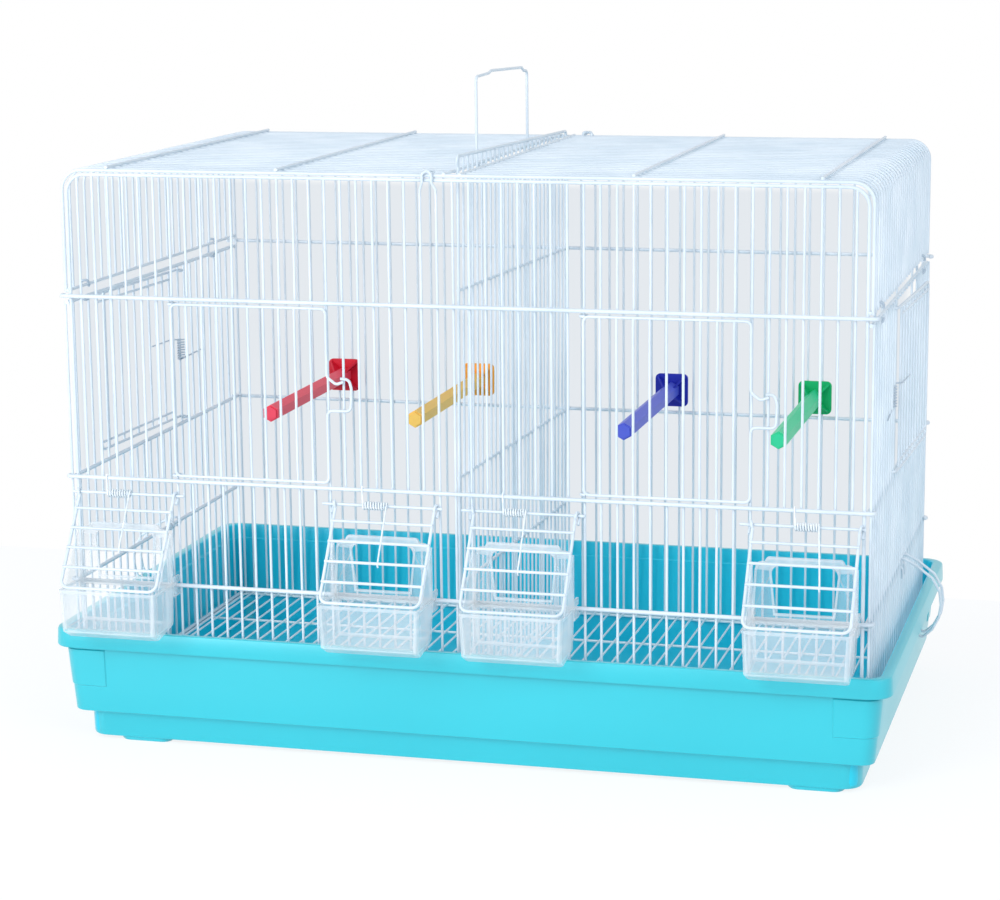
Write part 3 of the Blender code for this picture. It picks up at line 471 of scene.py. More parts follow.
# For each perch: two tones of its plate, and two of its bar, painted paler for the light and the white sheen
# on it
PERCH_COLOURS = {
    "perch_red": ("E01836", "D4142E", "FA4A62", "F4405A"),
    "perch_orange": ("FFB848", "FCAE38", "FFD06C", "FFC85C"),
    "perch_blue": ("1C2CB0", "1824A4", "5866D8", "4E5CD0"),
    "perch_green": ("06C076", "02B46A", "3ADCA0", "30D496"),
}


# Cage walls

def split_wire(u, y, breaks, top):
    """An upright wire from the bottom rail to the top, left out between the given heights."""
    runs = []
    low = BOTTOM - 1
    for start, end in breaks:
        runs.append(wires([(u, y, low), (u, y, start)]))
        low = end
    runs.append(wires([(u, y, low), (u, y, top)]))
    return runs


def front_breaks(u):
    """The heights at which a front wire is left out, for a feeder or a door."""
    if any(bay < u < bay + FEEDER_WIDTH for bay in FEEDER_BAYS):
        return [(0.5, MID - 0.5)]
    if any(left < u < right for left, right in DOOR_BAYS):
        return [(MID + 0.5, UPPER - 0.5)]
    return []


def panel_frame(y, diameter=FRAME_WIRE):
    """The heavy wire that runs up one end, over the top with round corners, and down the other end."""
    ends = (END_WIRE, WIDTH - END_WIRE)
    points = [(ends[0], y, BOTTOM - 1), (ends[0], y, PANEL_TOP),
              (ends[1], y, PANEL_TOP), (ends[1], y, BOTTOM - 1)]
    return wires(points, diameter, bend=14, sides=10, bend_steps=10)


def looped_rail(y, out, z, hooks):
    """A cross rail whose ends are hooked back round the corner wires of the side panels."""
    if not hooks:
        return wires([(END_WIRE - 1.5, y + out, z), (WIDTH - END_WIRE + 1.5, y + out, z)], RAIL, sides=10)
    turn = 1 if out > 0 else -1
    radius = abs(out) + 0.6
    left = [(x - SIDE_WIRE_OUT, y + turn * dy, z) for x, dy in arc((0, 0), radius, 90, 250, 7)]
    right = [(WIDTH - x, yy, zz) for x, yy, zz in left]
    return wires([*reversed(left), *right], RAIL, sides=10)


def make_front_panel():
    """Front wall: its wires stop at feeders and doors, and two are cut short for the roof's hook."""
    runs = [panel_frame(0)]
    for k in range(1, FRONT_GAPS):
        u = k * FRONT_PITCH
        top = PANEL_TOP - 8 if k in HOOK_WIRES else PANEL_TOP
        runs += split_wire(u, 0, front_breaks(u), top)
    runs += [looped_rail(0, -BEHIND_RAIL, z, z > BOTTOM) for z in (BOTTOM, 0, MID, UPPER)]
    fit(wire_piece("front_wall", runs, WHITE_WIRE), "cage", "front_panel", "front_panel")


def make_back_panel():
    """Back wall: one even row of wires."""
    runs = [panel_frame(DEPTH, BENT_WIRE)]
    runs.append(wires([(BACK_PITCH, DEPTH, BOTTOM - 1), (BACK_PITCH, DEPTH, PANEL_TOP)],
                      copies=BACK_GAPS - 1, step=(BACK_PITCH, 0, 0)))
    runs += [looped_rail(DEPTH, BEHIND_RAIL, z, z > BOTTOM) for z in (BOTTOM, 0, MID, UPPER)]
    fit(wire_piece("back_wall", runs, FAR_WIRE), "cage", "back_panel", "back_panel")


# The side wires beside the nest opening: at the door's free edge and at its hinge
NEST_FREE, NEST_HINGE = 6, 16


def side_place(side):
    """A side wall's own frame: v along its depth from its own front, out from the cage, and height."""
    if side == "left":
        return lambda v, out, z: at(-out, v, z)
    return lambda v, out, z: at(WIDTH + out, DEPTH - v, z)


def make_side_panels():
    """Lower side walls, with their wires left out over the nest opening."""
    for side in ("left", "right"):
        runs = []
        for i in range(SIDE_GAPS + 1):
            breaks = [(MID + 0.5, SIDE_TOP - 0.5)] if NEST_FREE < i < NEST_HINGE else []
            runs += split_wire(i * SIDE_PITCH, SIDE_WIRE_OUT, breaks, SIDE_TOP + 1)
        for z in (BOTTOM, 0, MID, SIDE_TOP):
            runs.append(wires([(-1.5, -SIDE_RAIL_IN, z), (DEPTH + 1.5, -SIDE_RAIL_IN, z)], RAIL, sides=10))
        name = f"side_panel_{side}"
        piece = wire_piece(f"side_wall_{side}", runs, SHADE_COPY_WIRE, side_place(side))
        fit(piece, "cage", name, name)


# The roof's cross bars from either end, half its slot, and the bend down into the side drops
ROOF_BARS = (36, 168)
SLOT_HALF = 6
ROOF_BEND = 15


def make_roof():
    """Inverted U of long wires, with cross bars welded on top and a slot for the divider."""
    runs = []
    for y in (0, DEPTH):
        top = ROOF - 0.5
        points = [(0, y, DROP - 1.5), (0, y, top), (WIDTH, y, top), (WIDTH, y, DROP - 1.5)]
        runs.append(wires(points, FRAME_WIRE, bend=ROOF_BEND, sides=10, bend_steps=10))
    for end in (0, WIDTH):
        inner = WIDTH / 2 - SLOT_HALF + 1 if end == 0 else WIDTH / 2 + SLOT_HALF - 1
        points = [(end, ROOF_PITCH, DROP - 1.5), (end, ROOF_PITCH, ROOF), (inner, ROOF_PITCH, ROOF)]
        runs.append(wires(points, bend=ROOF_BEND, copies=ROOF_GAPS - 1, step=(0, ROOF_PITCH, 0),
                          bend_steps=8))
    for u in (*ROOF_BARS, *[WIDTH - u for u in ROOF_BARS]):
        runs.append(wires([(u, -1.4, ROOF + 1.9), (u, DEPTH + 1.4, ROOF + 1.9)], THIN_RAIL))
    for u in (WIDTH / 2 - SLOT_HALF, WIDTH / 2 + SLOT_HALF):
        runs.append(wires([(u, -1.4, ROOF + 0.5), (u, DEPTH + 1.4, ROOF + 0.5)], THIN_RAIL))
    for u in (1.9, WIDTH - 1.9):
        runs.append(wires([(u, -1.5, DROP), (u, DEPTH + 1.5, DROP)], THIN_RAIL))
    fit(wire_piece("roof_wirework", runs, WHITE_WIRE), "cage", "roof_unit", "roof_unit")


def make_roof_hooks():
    """The ends of two panel wires, drawn together and bent over the roof unit's end wire."""
    for end, y, out, pair, pitch in (("front", 0, -1, HOOK_WIRES, FRONT_PITCH),
                                     ("back", DEPTH, 1, BACK_HOOK_WIRES, BACK_PITCH)):
        middle = sum(pair) / 2 * pitch
        runs = []
        for k in pair:
            u = k * pitch
            near = middle + (u - middle) * 0.58
            cross = middle - (u - middle) * 0.62
            points = [(u, y, PANEL_TOP - 9), (u, y, PANEL_TOP - 7), (near, y + out * 2.6, PANEL_TOP - 1.5),
                      (near, y + out * 3.1, ROOF + 0.8), (middle, y + out * 1.2, ROOF + 3.2),
                      (cross, y - out * 2.6, ROOF + 3.4), (cross, y - out * 3.4, ROOF - 2.5)]
            runs.append(wires(points, bend=2, bend_steps=4))
        name = f"roof_hook_{end}"
        fit(wire_piece(f"roof_snap_hook_{end}", runs, WHITE_WIRE), "cage", name, name)


RING_SPOTS = (("front", 34.4), ("back", 299.8))
RING_RADIUS = 3
RING_TWIST = 0.35


def make_ring_clips():
    """Open oval rings that tie the roof unit to the side panels."""
    for side, u in (("left", 0), ("right", WIDTH)):
        for end, y in RING_SPOTS:
            upper = [(x, DROP + z) for x, z in arc((0, 0), RING_RADIUS, -40, 180, 8)]
            lower = [(x, SIDE_TOP + z) for x, z in arc((0, 0), RING_RADIUS, 180, 380, 8)]
            loop = [(u + x, y + x * RING_TWIST, z) for x, z in upper + lower]
            name = f"ring_clip_{side}_{end}"
            fit(wire_piece(f"tie_ring_{side}_{end}", [wires(loop)], BARE_STEEL), "cage", name, name)


GRATE_INSET = 4.5
GRATE_LOW, GRATE_HIGH = -97.6, -96.2
GRATE_CROSS_WIRES = (88, 173, 258)


def make_grate():
    """Floor grate: long wires from front to back, on three cross wires and a bent frame wire."""
    left, right = GRATE_INSET, WIDTH - GRATE_INSET
    front, back = GRATE_INSET, DEPTH - GRATE_INSET
    low, high = GRATE_LOW, GRATE_HIGH
    frame_points = [(left, front, low), (right, front, low), (right, back, low), (left, back, low)]
    runs = [wires(frame_points, BENT_WIRE, bend=5, closed=True)]
    runs += [wires([(left, y, low), (right, y, low)], BENT_WIRE) for y in GRATE_CROSS_WIRES]
    runs.append(wires([(FRONT_PITCH, front - 1, high), (FRONT_PITCH, back + 1, high)], FINE_WIRE,
                      copies=FRONT_GAPS - 1, step=(FRONT_PITCH, 0, 0)))
    fit(wire_piece("floor_grate_wirework", runs, LIT_GRATE_WIRE), "cage", "floor_grate", "floor_grate")


DIVIDER_LENGTH = 326
DIVIDER_HEIGHT = 410.5
DIVIDER_TILT = math.radians(1.58)
DIVIDER_FRONT, DIVIDER_FOOT = 4.7, -95.3
DIVIDER_GAPS = 26
DIVIDER_RAILS = (96, 176, 313)


def divider_place(v, x, h):
    """The divider's own frame: v forwards from its back foot, x across, and h up its lean."""
    y = DIVIDER_FRONT + DIVIDER_LENGTH - v * math.cos(DIVIDER_TILT) + h * math.sin(DIVIDER_TILT)
    return at(WIDTH / 2 + x, y, DIVIDER_FOOT + h * math.cos(DIVIDER_TILT) + v * math.sin(DIVIDER_TILT))


def make_divider():
    """Partition of wires in a bent frame, whose top wire overhangs both ends."""
    low, high = 1.5, DIVIDER_HEIGHT - 1.5
    outline = [(0, 0, high), (0, 0, low), (DIVIDER_LENGTH, 0, low), (DIVIDER_LENGTH, 0, high)]
    pitch = DIVIDER_LENGTH / DIVIDER_GAPS
    top = [(1, 0, high - 4), (-11, 0, high + 1.8),
           (DIVIDER_LENGTH + 6, 0, high + 0.6), (DIVIDER_LENGTH - 1, 0, high - 8)]
    runs = [wires(outline, THIN_RAIL, bend=5), wires(top, THIN_RAIL, bend=3),
            wires([(pitch, 0.3, low), (pitch, 0.3, high)], FINE_WIRE, copies=DIVIDER_GAPS - 1,
                  step=(pitch, 0, 0))]
    for h in DIVIDER_RAILS:
        runs.append(wires([(0, -0.6, h), (DIVIDER_LENGTH, -0.6, h)], THIN_RAIL))
    fit(wire_piece("divider_wirework", runs, SHADE_COPY_WIRE, divider_place), "divider", "divider", "divider")


# Doors

DOOR_OUT = 2.9


def make_front_doors():
    """Wire doors: a frame wire with round corners whose free side is bent out as a finger latch."""
    low, high, out = 84.2, 213, DOOR_OUT
    finger_low, finger_high, reach = 138, 160, 18
    for side, (left, right) in zip(("left", "right"), DOOR_BAYS):
        width = right - left
        tip = width + reach

        def place(x, off, z, left=left):
            return at(left + x, -off, z)

        frame_points = [(tip - 5, out + 0.7, finger_high), (width + 7, out, finger_high - 2.5),
                        (width, out, finger_high + 3), (width, out, high), (0, out, high),
                        (0, out, low), (width, out, low), (width, out, finger_low), (tip, out, finger_low),
                        (tip + 0.6, out, finger_high - 5), (tip - 1, out, finger_high + 1.6),
                        (tip - 7, out + 2.3, finger_high + 2.4)]
        runs = [wires(frame_points, BENT_WIRE, bend=4, bend_steps=5)]
        runs.append(wires([(FRONT_PITCH, out, low), (FRONT_PITCH, out, high)], copies=9,
                          step=(FRONT_PITCH, 0, 0)))
        for z in (low, high):
            eye = [(x, -dy, z) for x, dy in arc((0, 0), out, 290, 40, 10)]
            runs.append(wires(eye))
        name = f"front_door_{side}"
        fit(wire_piece(f"front_door_wirework_{side}", runs, WHITE_WIRE, place), name, name, name)


def nest_place(side, gape=math.radians(2.2)):
    """The hinge wire of a nest door: x towards the free edge, out from the cage, and height."""
    base = side_place(side)

    def place(x, out, z):
        along = x * math.cos(gape) - out * math.sin(gape)
        away = x * math.sin(gape) + out * math.cos(gape)
        return base(NEST_HINGE * SIDE_PITCH - along, away, z)

    return place


def make_nest_doors():
    """Sprung doors over the nest openings, with a doubled wire along their tops and bottoms."""
    width = (NEST_HINGE - NEST_FREE) * SIDE_PITCH + 9
    low, high, out = 84.5, 207, 3.2
    first, gaps = 13, 10
    for side in ("left", "right"):
        outline = [(0, out, low), (width, out, low), (width, out, high), (0, out, high)]
        runs = [wires(outline, BENT_WIRE, bend=5, bend_steps=5)]
        for z in (low + 6, high - 6):
            runs.append(wires([(first, out, z), (width, out, z)]))
        step = (width - first) / gaps
        runs.append(wires([(first, out, low), (first, out, high)], copies=gaps, step=(step, 0, 0)))
        for z in (low, high):
            eye = [(x, dy, z) for x, dy in arc((0, 0), out, 90, 330, 10)]
            runs.append(wires(eye, BENT_WIRE))
        name = f"nest_door_{side}"
        fit(wire_piece(f"nest_door_wirework_{side}", runs, WHITE_WIRE, nest_place(side)), name, name, name)


# Springs

COIL_RADIUS = 2.75
COIL_STEPS = 16


def coil(length, turns):
    """Steps along a coil: how far along its axis, and the angle turned there."""
    steps = round(turns * COIL_STEPS)
    return [(length * k / steps, 2 * math.pi * turns * k / steps) for k in range(steps + 1)]


FLAP_FOOT_OUT = 46
FLAP_FOOT_RISE = 4.8
FLAP_SLOPE = math.atan2(FLAP_FOOT_OUT - HINGE_OUT, HINGE_RISE - FLAP_FOOT_RISE)
FLAP_LENGTH = math.hypot(FLAP_FOOT_OUT - HINGE_OUT, HINGE_RISE - FLAP_FOOT_RISE)
FLAP_HALF = 37.8
FIRST_RUNG = 0.178
RUNG_GAPS = 4


def flap_place(x, down, lift):
    """A flap's own frame about its hinge wire: x across, down the flap, and lift off its front."""
    y = -HINGE_OUT - down * math.sin(FLAP_SLOPE) - lift * math.cos(FLAP_SLOPE)
    z = HINGE_RISE - down * math.cos(FLAP_SLOPE) + lift * math.sin(FLAP_SLOPE)
    return at(x, y, z)


def make_flap_springs():
    """Torsion springs on the flap hinge wires: the coil and its long leg move with the flap, and the
    short leg that stands against the middle rail stays with the cage."""
    turns = 8.5 + (math.pi / 2 + FLAP_SLOPE) / (2 * math.pi)
    for i, (start, end) in enumerate(SPRING_SPANS):
        curls = []
        for along, angle in coil(end - start, turns):
            left = 2 * math.pi * turns - angle
            curls.append((start + along, -COIL_RADIUS * math.sin(left), COIL_RADIUS * math.cos(left)))
        rung = FLAP_LENGTH * (FIRST_RUNG + (1 - FIRST_RUNG) * 2 / RUNG_GAPS)
        foot_x = end + 0.2 + LEG_LEANS[i]
        leg = [(foot_x, rung - 3, 1.9), (foot_x, rung + 1.2, 1.6), (foot_x, rung + 2.1, -0.6)]
        name = f"flap_spring_{i + 1}"
        moving = [wires([*curls, *leg], SPRING_WIRE)]
        piece = wire_piece(f"flap_spring_coil_{i + 1}", moving, SPRING_STEEL, flap_place)
        fit(piece, f"feeder_flap_{i + 1}", name, name)
        foot = flap_place(*curls[0]) - at(0, 0, 0)
        x, y, z = foot / MM
        up = [(x, y, z), (x - 0.9, -HINGE_OUT - 1.6, MID + 1.5), (x - 0.9, -HINGE_OUT - 0.4, MID + 2.9)]
        fit(wire_piece(f"flap_spring_leg_{i + 1}", [wires(up, SPRING_WIRE)], SPRING_STEEL), "cage", name)


def make_nest_springs():
    """Torsion springs on the nest door hinge wires."""
    low, high = 133, 150
    for side in ("left", "right"):
        base = nest_place(side, 0)
        curls = [(COIL_RADIUS * math.cos(angle), COIL_RADIUS * math.sin(angle), low + along)
                 for along, angle in coil(high - low, 8)]
        points = [(-55, 3.0, low), *curls, (10, 6.0, high), (44, 7.5, high)]
        name = f"nest_door_spring_{side}"
        runs = [wires(points, SPRING_WIRE, sides=6)]
        piece = wire_piece(f"nest_spring_coil_{side}", runs, BARE_STEEL, base)
        fit(piece, f"nest_door_{side}", name, name)


# Feeders

def feeder_centre(i):
    """The middle of a feeder, across the front."""
    return FEEDER_BAYS[i] + FEEDER_WIDTH / 2 + FEEDER_SHIFTS[i]


def make_flaps():
    """Ladder flaps: one wire bent to a bail, four rungs welded on it, and an eye at the top of each leg."""
    half = FLAP_HALF
    for i in range(4):
        centre = feeder_centre(i) + FLAP_SHIFTS[i]
        start, end = HINGE_SPANS[i]
        name = f"flap_hinge_wire_{i + 1}"
        hinge = wires([(start, -HINGE_OUT, HINGE_RISE), (end, -HINGE_OUT, HINGE_RISE)], BENT_WIRE, sides=10)
        fit(wire_piece(f"hinge_wire_{i + 1}", [hinge], WHITE_WIRE), "cage", name, name)

        def place(x, down, lift, centre=centre):
            return flap_place(centre + x, down, lift)

        bail = [(-half, 2.5, 0), (-half, FLAP_LENGTH, 0), (half, FLAP_LENGTH, 0), (half, 2.5, 0)]
        runs = [wires(bail, THIN_RAIL, bend=6, sides=10)]
        for side in (-half, half):
            eye = [(side + 2.3 * math.copysign(k / 12, side), d, l)
                   for k, (d, l) in enumerate(arc((0, 0), 2.5, 0, 300, 12))]
            runs.append(wires([*eye, (eye[-1][0], 6.5, -1.4)], BENT_WIRE))
        first = FIRST_RUNG * FLAP_LENGTH
        gap = (FLAP_LENGTH - first) / RUNG_GAPS
        runs.append(wires([(-half - 0.8, first, 1.3), (half + 0.8, first, 1.3)], BENT_WIRE,
                          copies=RUNG_GAPS, step=(0, gap, 0)))
        name = f"feeder_flap_{i + 1}"
        fit(wire_piece(f"feeder_flap_wirework_{i + 1}", runs, WHITE_WIRE, place), name, name, name)


def rounded_ring(half, front, back, z, corner, back_z=None):
    """A rectangle with round corners, as a ring of points, level or sloping up to its back."""
    slope = 0 if back_z is None else (back_z - z) / (back - front)
    ring = []
    for side_x, side_y, turn in CORNERS:
        centre = (side_x * (half - corner), (back - corner) if side_y > 0 else (front + corner))
        ring += [(x, y, z + (y - front) * slope) for x, y in arc(centre, corner, turn, turn + 90, 4)]
    return ring


def skin(mesh, rings, place):
    """Faces through rings of equal count, closed over the first and the last of them."""
    layers = [[mesh.verts.new(place(*p)) for p in ring] for ring in rings]
    count = len(rings[0])
    for lower, upper in zip(layers, layers[1:]):
        for i in range(count):
            j = (i + 1) % count
            mesh.faces.new((lower[i], lower[j], upper[j], upper[i]))
    mesh.faces.new(reversed(layers[0]))
    mesh.faces.new(layers[-1])


def extruded(mesh, outer, holes, low, high, place):
    """A plate with holes: an outline in a plane, filled and given its thickness from low to high."""
    curve = bpy.data.curves.new("plate", "CURVE")
    curve.dimensions = "2D"
    curve.fill_mode = "BOTH"
    curve.extrude = (high - low) / 2
    for outline in (outer, *holes):
        line = curve.splines.new("POLY")
        line.points.add(len(outline) - 1)
        for point, (u, v) in zip(line.points, outline):
            point.co = (u, v, 0, 1)
        line.use_cyclic_u = True
    carrier = bpy.data.objects.new("plate", curve)
    bpy.context.scene.collection.objects.link(carrier)
    bpy.context.view_layer.update()
    flat = bpy.data.meshes.new_from_object(carrier.evaluated_get(bpy.context.evaluated_depsgraph_get()))
    bpy.data.objects.remove(carrier)
    piece = bmesh.new()
    piece.from_mesh(flat)
    bmesh.ops.remove_doubles(piece, verts=piece.verts, dist=1e-4)
    for vertex in piece.verts:
        vertex.co = place(vertex.co.x, vertex.co.y, vertex.co.z + (low + high) / 2)
    bmesh.ops.recalc_face_normals(piece, faces=piece.faces)
    piece.to_mesh(flat)
    piece.free()
    mesh.from_mesh(flat)
    bpy.data.meshes.remove(flat)


CUP_HALF = 38.5
CUP_BACK = -7.5
CUP_WALL = 1.5
GUARD_HALF_OUTLINE = ((37.4, -1), (37.4, 7), (35.5, 38), (34.4, 42), (32.4, 43.5), (28.6, 43.7),
                      (27.2, 46.4), (25.8, 47.3))
WINDOW_MIDDLE = 22
BRACE_OUTLINE = ((-9.1, 1), (-9.1, 41), (-11, 41), (-22, 27), (-33, 11), (-38, 4.5), (-38, 1))
LUG_OUTLINE = ((-9, -8), (3.4, -8), (3.6, -7), (3.6, -1.9), (-1.9, -1.9), (-1.9, 1.9), (3.6, 1.9), (3.6, 6),
               (2.6, 7), (-9, 7))
EDGE_WIDTH = 2.2


def cup_shell(cup, place):
    """The cup's box: drafted walls, a chamfer along the front of its bottom, which rises to the back."""
    half, front, back, wall = CUP_HALF, -CUP_REACH, CUP_BACK, CUP_WALL
    # For each ring: how far inside the box at its ends, front and back, its height at the front and at
    # the back, and its corner radius
    outside = [(3.4, 11.5, 1.6, -34.5, -29.8, 2.5), (2.3, 10, 1, -34.4, -29.5, 3),
               (1.6, 1.3, 0.2, -29.2, -28.4, 3), (1.5, 0.9, 0, -28.2, -27.6, 3), (0.4, 0.2, 0, 0.6, 0.6, 3),
               (0, 0, 0, 1, 1, 3), (0, 0, 0, 3, 3, 3)]
    inside = [(wall, wall, wall, 3, 3, 2), (1.5 + wall, 0.9 + wall, wall, -27.6, -26.8, 2),
              (2.3 + wall, 10.8, 1 + wall, -32.9, -28, 2), (4.5, 13, 4, -33, -28.3, 1.5)]
    rings = [rounded_ring(half - end, front + near, back - far, z, corner, back_z=back_z)
             for end, near, far, z, back_z, corner in outside + inside]
    skin(cup, rings, place)
    bmesh.ops.recalc_face_normals(cup, faces=cup.faces)


def light_the_edges(piece):
    """Gives the narrow faces, which are the plastic's cut and rounded edges, a whiter, less clear cover:
    painted light that gathers along the edges.
    """
    mesh = piece.data
    mesh.materials.append(CLEAR_EDGE)
    for face in mesh.polygons:
        corners = [mesh.vertices[v].co for v in face.vertices]
        longest = max((b - a).length for a, b in zip(corners, corners[1:] + corners[:1]))
        if face.area / longest < EDGE_WIDTH * MM:
            face.material_index = 1


def make_cups():
    """Clear cups with a tall windowed guard, a brace at each end, and lugs that grip the lower rail."""
    guard = [*GUARD_HALF_OUTLINE, *[(-u, v) for u, v in reversed(GUARD_HALF_OUTLINE)]]
    window = [(-20.5, 6.5), (20.5, 6.5), *arc((17.5, 35.3), 6, 0, 90, 5), *arc((-17.5, 35.3), 6, 90, 180, 5)]
    window_rim = [(u * 1.07, WINDOW_MIDDLE + (v - WINDOW_MIDDLE) * 1.1) for u, v in window]
    guard_rim = [(u * 0.95, WINDOW_MIDDLE + (v - WINDOW_MIDDLE) * 0.93) for u, v in guard]
    for i in range(4):
        centre = feeder_centre(i)

        def place(x, y, z, centre=centre):
            return at(centre + x, y, z)

        def facing(u, v, w, centre=centre):
            return at(centre + u, CUP_BACK + w, v)

        cup = bmesh.new()
        cup_shell(cup, place)
        extruded(cup, guard, [window], -1.5, 0, facing)
        extruded(cup, guard, [guard_rim], -2.5, -1.5, facing)
        extruded(cup, window_rim, [window], -2.3, -1.5, facing)
        for side in (-1, 1):

            def endways(y, z, w, centre=centre, side=side):
                return at(centre + side * (CUP_HALF - 1.85 + w), y, z)

            extruded(cup, BRACE_OUTLINE, [], 0, 1.3, endways)
            extruded(cup, LUG_OUTLINE, [], 0, CUP_WALL, endways)
        piece = mesh_piece(f"feeder_cup_moulding_{i + 1}", cup, CLEAR_PLASTIC)
        light_the_edges(piece)
        name = f"feeder_cup_{i + 1}"
        fit(piece, name, name, name)


# Perches, latches and handle

PERCH_SPOTS = (("perch_red", 101.5, 103), ("perch_orange", 222, 103), ("perch_blue", 390, 100),
               ("perch_green", 510.5, 98))
PERCH_FIN = ((5.5, 1.8), (16.5, 1.8), (16.5, 3.2), (5.5, 17))
PERCH_PLATE_HALF, PERCH_PLATE_CORNER, PERCH_PLATE_THICKNESS = 13.75, 4, 2.2
PERCH_RADIUS, PERCH_LENGTH, PERCH_TIP = 7, 189, 190.6


def make_perches():
    """Hexagonal bars on square plates, with a fin from the bar to each corner of the plate."""
    corner = PERCH_PLATE_CORNER
    middle = PERCH_PLATE_HALF - corner
    outline = []
    for side_u, side_v, turn in CORNERS:
        outline += arc((side_u * middle, side_v * middle), corner, turn, turn + 90, 5)
    section = arc((0, 0), PERCH_RADIUS, 30, 390, 6)[:-1]
    nose = [(x * 0.82, z * 0.82) for x, z in section]
    plate_back = DEPTH - 1.7
    for name, u, rise in PERCH_SPOTS:

        def place(x, z, w, u=u, rise=rise):
            return at(u + x, plate_back - w, rise + z)

        colour = name.removeprefix("perch_")
        deep, deep_dark, bar_lit, bar_lit_dark = PERCH_COLOURS[name]
        plate_finish = moulded_polypropylene(f"{colour}_moulded_polypropylene", deep, deep_dark, 0.42,
                                             shine=0.3)
        # The bar's colours are painted paler than the plate's: painted light and sheen.
        bar_finish = moulded_polypropylene(f"{colour}_polypropylene_painted_paler_for_light", bar_lit, bar_lit_dark, 0.42,
                                           shine=0.3)
        plate = bmesh.new()
        extruded(plate, outline, [], 0, PERCH_PLATE_THICKNESS, place)
        perch = bmesh.new()
        extruded(perch, section, [], 1.5, PERCH_LENGTH, place)
        extruded(perch, nose, [], PERCH_LENGTH, PERCH_TIP, place)
        for quarter in range(4):
            turn = Matrix.Rotation(math.radians(45 + 90 * quarter), 3, "Z")

            def finned(out, w, thick, place=place, turn=turn):
                spot = turn @ Vector((out, thick, 0))
                return place(spot.x, spot.y, w)

            extruded(plate, PERCH_FIN, [], -0.8, 0.8, finned)
        fit(mesh_piece(f"{name}_bar_moulding", perch, bar_finish), name, name, name)
        fit(mesh_piece(f"{name}_plate_moulding", plate, plate_finish), name, name)


LATCH_LEGS = (185, 200)
LATCH_BOW = ((4.7, 3.6), (14, -1.5), (26, -10.5), (31.8, -21), (33.1, -31), (31.6, -41), (26.5, -51),
             (19.5, -57.6), (13.5, -54.9))


def latch_path(y):
    """One leg of a tray latch: hooked round the side wall's rail, and bowed down over the tray's rim."""
    hook = [(3.1, -12), (3.0, -5), *arc((0, 0), 3.4, 300, 80, 8)]
    return [(x, y, z) for x, z in [*hook, *LATCH_BOW]]


def make_latches():
    """Double wire bails that hold the cage down on its tray."""
    for side in ("left", "right"):
        sign = -1 if side == "left" else 1
        base = 0 if side == "left" else WIDTH

        def place(x, y, z, sign=sign, base=base):
            return at(base + sign * x, y, z)

        points = [*latch_path(LATCH_LEGS[0]), *reversed(latch_path(LATCH_LEGS[1]))]
        name = f"tray_latch_{side}"
        runs = [wires(points, BENT_WIRE, bend=2.5, bend_steps=3)]
        piece = wire_piece(f"tray_latch_wire_{side}", runs, WHITE_WIRE, place)
        fit(piece, name, name, name)


HANDLE_BOW = ((99, 63.4), (135, 64), (143, 65.5), (233, 62.8), (240, 59.9), (250, 59.4))


def make_handle():
    """Wire bail whose feet are hooked round the left slot rail, with a low crank near each end of its top."""
    u = WIDTH / 2 - SLOT_HALF
    radius = 3.05
    hook = arc((0, 0), radius, -10, -180, 10)
    low, high = HANDLE_BOW[0][0], HANDLE_BOW[-1][0]
    first = [(u + x, low, ROOF + z) for x, z in hook]
    second = [(u + x, high, ROOF + z) for x, z in reversed(hook)]
    bow = [(u - radius, y, ROOF + z) for y, z in HANDLE_BOW]
    runs = [wires([*first, *bow, *second], BENT_WIRE, bend=4, bend_steps=5)]
    fit(wire_piece("carry_handle_wire", runs, WHITE_WIRE), "carry_handle", "carry_handle", "carry_handle")


# Tray

CORNER_PANEL = 22
WALL_TOP, WALL_FOOT = -39.9, -100.6


def tray_ring(inset, z, corner, raised=0.0):
    """A ring round the tray, that far inside its rim, with the corner panels raised."""
    over_x = RIM_OVER_X - inset
    over_y = RIM_OVER_Y - inset * 0.62
    half_x, half_y = WIDTH / 2 + over_x, DEPTH / 2 + over_y
    ring = []
    for side_x, side_y, turn in CORNERS:
        centre = (side_x * (half_x - corner), side_y * (half_y - corner))
        points = arc(centre, corner + raised, turn, turn + 90, 8)
        end_x = side_x * (WIDTH / 2 - CORNER_PANEL)
        end_y = side_y * (DEPTH / 2 - CORNER_PANEL)
        on_y = [(end_x - side_x * 0.9, side_y * half_y), (end_x, side_y * (half_y + raised))]
        on_x = [(side_x * (half_x + raised), end_y), (side_x * half_x, end_y - side_y * 0.9)]
        before, after = (reversed(on_x), reversed(on_y)) if turn in (0, 180) else (on_y, on_x)
        ring += [*before, *points, *after]
    return [(WIDTH / 2 + x, DEPTH / 2 + y, z) for x, y in ring]


def outer_wall(z):
    """How far the tray's outer wall stands inside the rim at a height, and its corner radius there."""
    share = (WALL_TOP - z) / (WALL_TOP - WALL_FOOT)
    return 6.6 + 5.45 * share, 13 - 3 * share


# How many of the last rings line the basin
INNER_RINGS = 12
FOOT_SPOTS = (48.5, 564)
FOOT_INSET = 23.3


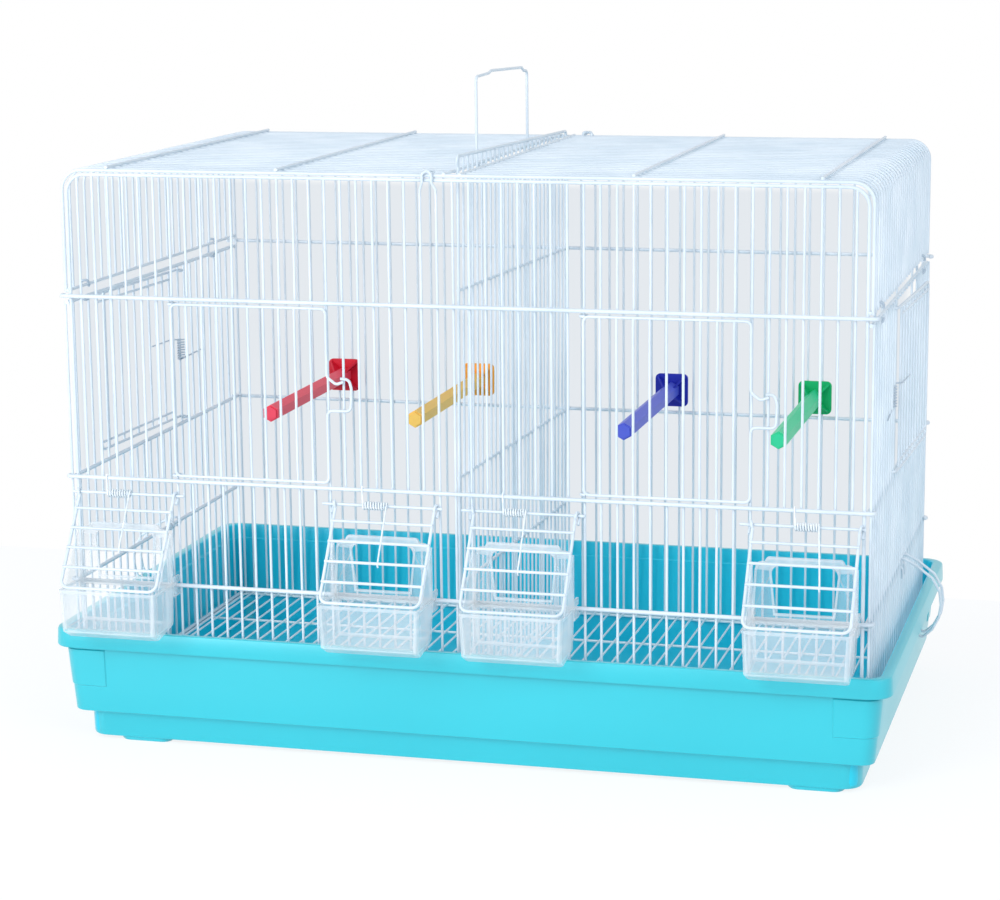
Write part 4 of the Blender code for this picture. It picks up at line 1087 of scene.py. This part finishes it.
def make_tray():
    """Tray: feet, a recessed band, drafted walls with raised corner panels, a lipped rim and a ledge."""
    # For each ring: how far inside the rim, its height, and its corner radius
    below = [(27, -123.5, 12), (24.4, -123.5, 13), (22.7, -123.1, 14), (21.9, -121.9, 15), (21.5, -103.4, 15),
             (20.9, -102.8, 15), (13.2, -102.8, 10), (12.4, -102.4, 10), (12.1, -101.5, 10)]
    rings = [tray_ring(inset, z, corner) for inset, z, corner in below]
    for z, raised in ((-82.6, 0), (-81.8, 0.9), (-54, 0.9), (-53.2, 0)):
        inset, corner = outer_wall(z)
        rings.append(tray_ring(inset, z, corner, raised))
    above = [(6.6, -40.2, 13), (2.2, -40.0, 15), (1.6, -51.2, 15), (0.5, -51.4, 15), (0, -50.6, 15),
             (0.5, -39, 15), (1, -37.6, 15), (2, -37, 15),
             (7.6, -37, 12), (8.6, -37.6, 12), (9, -39, 12), (9.3, -48.6, 11),
             (10.4, -49.6, 10), (13.4, -98, 8), (14.2, -98.7, 8), (23.4, -98.7, 8), (23.8, -99.4, 8),
             (24, -118, 8), (24.4, -120.8, 7.5), (26.4, -121.6, 7)]
    rings += [tray_ring(inset, z, corner) for inset, z, corner in above]
    tray = bmesh.new()
    skin(tray, rings, at)
    bmesh.ops.recalc_face_normals(tray, faces=tray.faces)
    for middle_u in FOOT_SPOTS:
        for middle_y in (FOOT_INSET, DEPTH - FOOT_INSET):

            def place(x, v, z, middle_u=middle_u, middle_y=middle_y):
                return at(middle_u + x, middle_y + v, z)

            foot = [rounded_ring(19.6, -19.8, 19.8, -126.5, 7), rounded_ring(20.5, -20.4, 20.4, -125.9, 8),
                    rounded_ring(22.5, -20.4, 20.4, -122.6, 8)]
            skin(tray, foot, place)
    piece = mesh_piece("tray_moulding", tray, TRAY_PLASTIC)
    piece.data.materials.append(BASIN_PLASTIC)
    faces = piece.data.polygons
    count = len(rings[0])
    inner = (len(rings) - INNER_RINGS) * count
    floor = (len(rings) - 1) * count + 1
    for i in (*range(inner, inner + (INNER_RINGS - 1) * count), floor):
        faces[i].material_index = 1
    fit(piece, "cage", "tray", "tray")


CRISP_ANGLE = math.radians(32)


def shade_by_angle():
    """Smooth shading on the mouldings, with their corners kept crisp."""
    for made in bpy.data.objects:
        if made.type == "MESH" and "moulding" in made.name:
            made.data.shade_smooth()
            made.data.set_sharp_from_angle(angle=CRISP_ANGLE)


make_camera()
make_room()
make_lamps()
make_front_panel()
make_back_panel()
make_side_panels()
make_roof()
make_roof_hooks()
make_ring_clips()
make_grate()
make_divider()
make_front_doors()
make_nest_doors()
make_flap_springs()
make_nest_springs()
make_flaps()
make_cups()
make_perches()
make_latches()
make_handle()
make_tray()
shade_by_angle()
bpy.context.scene.view_settings.view_transform = "Standard"
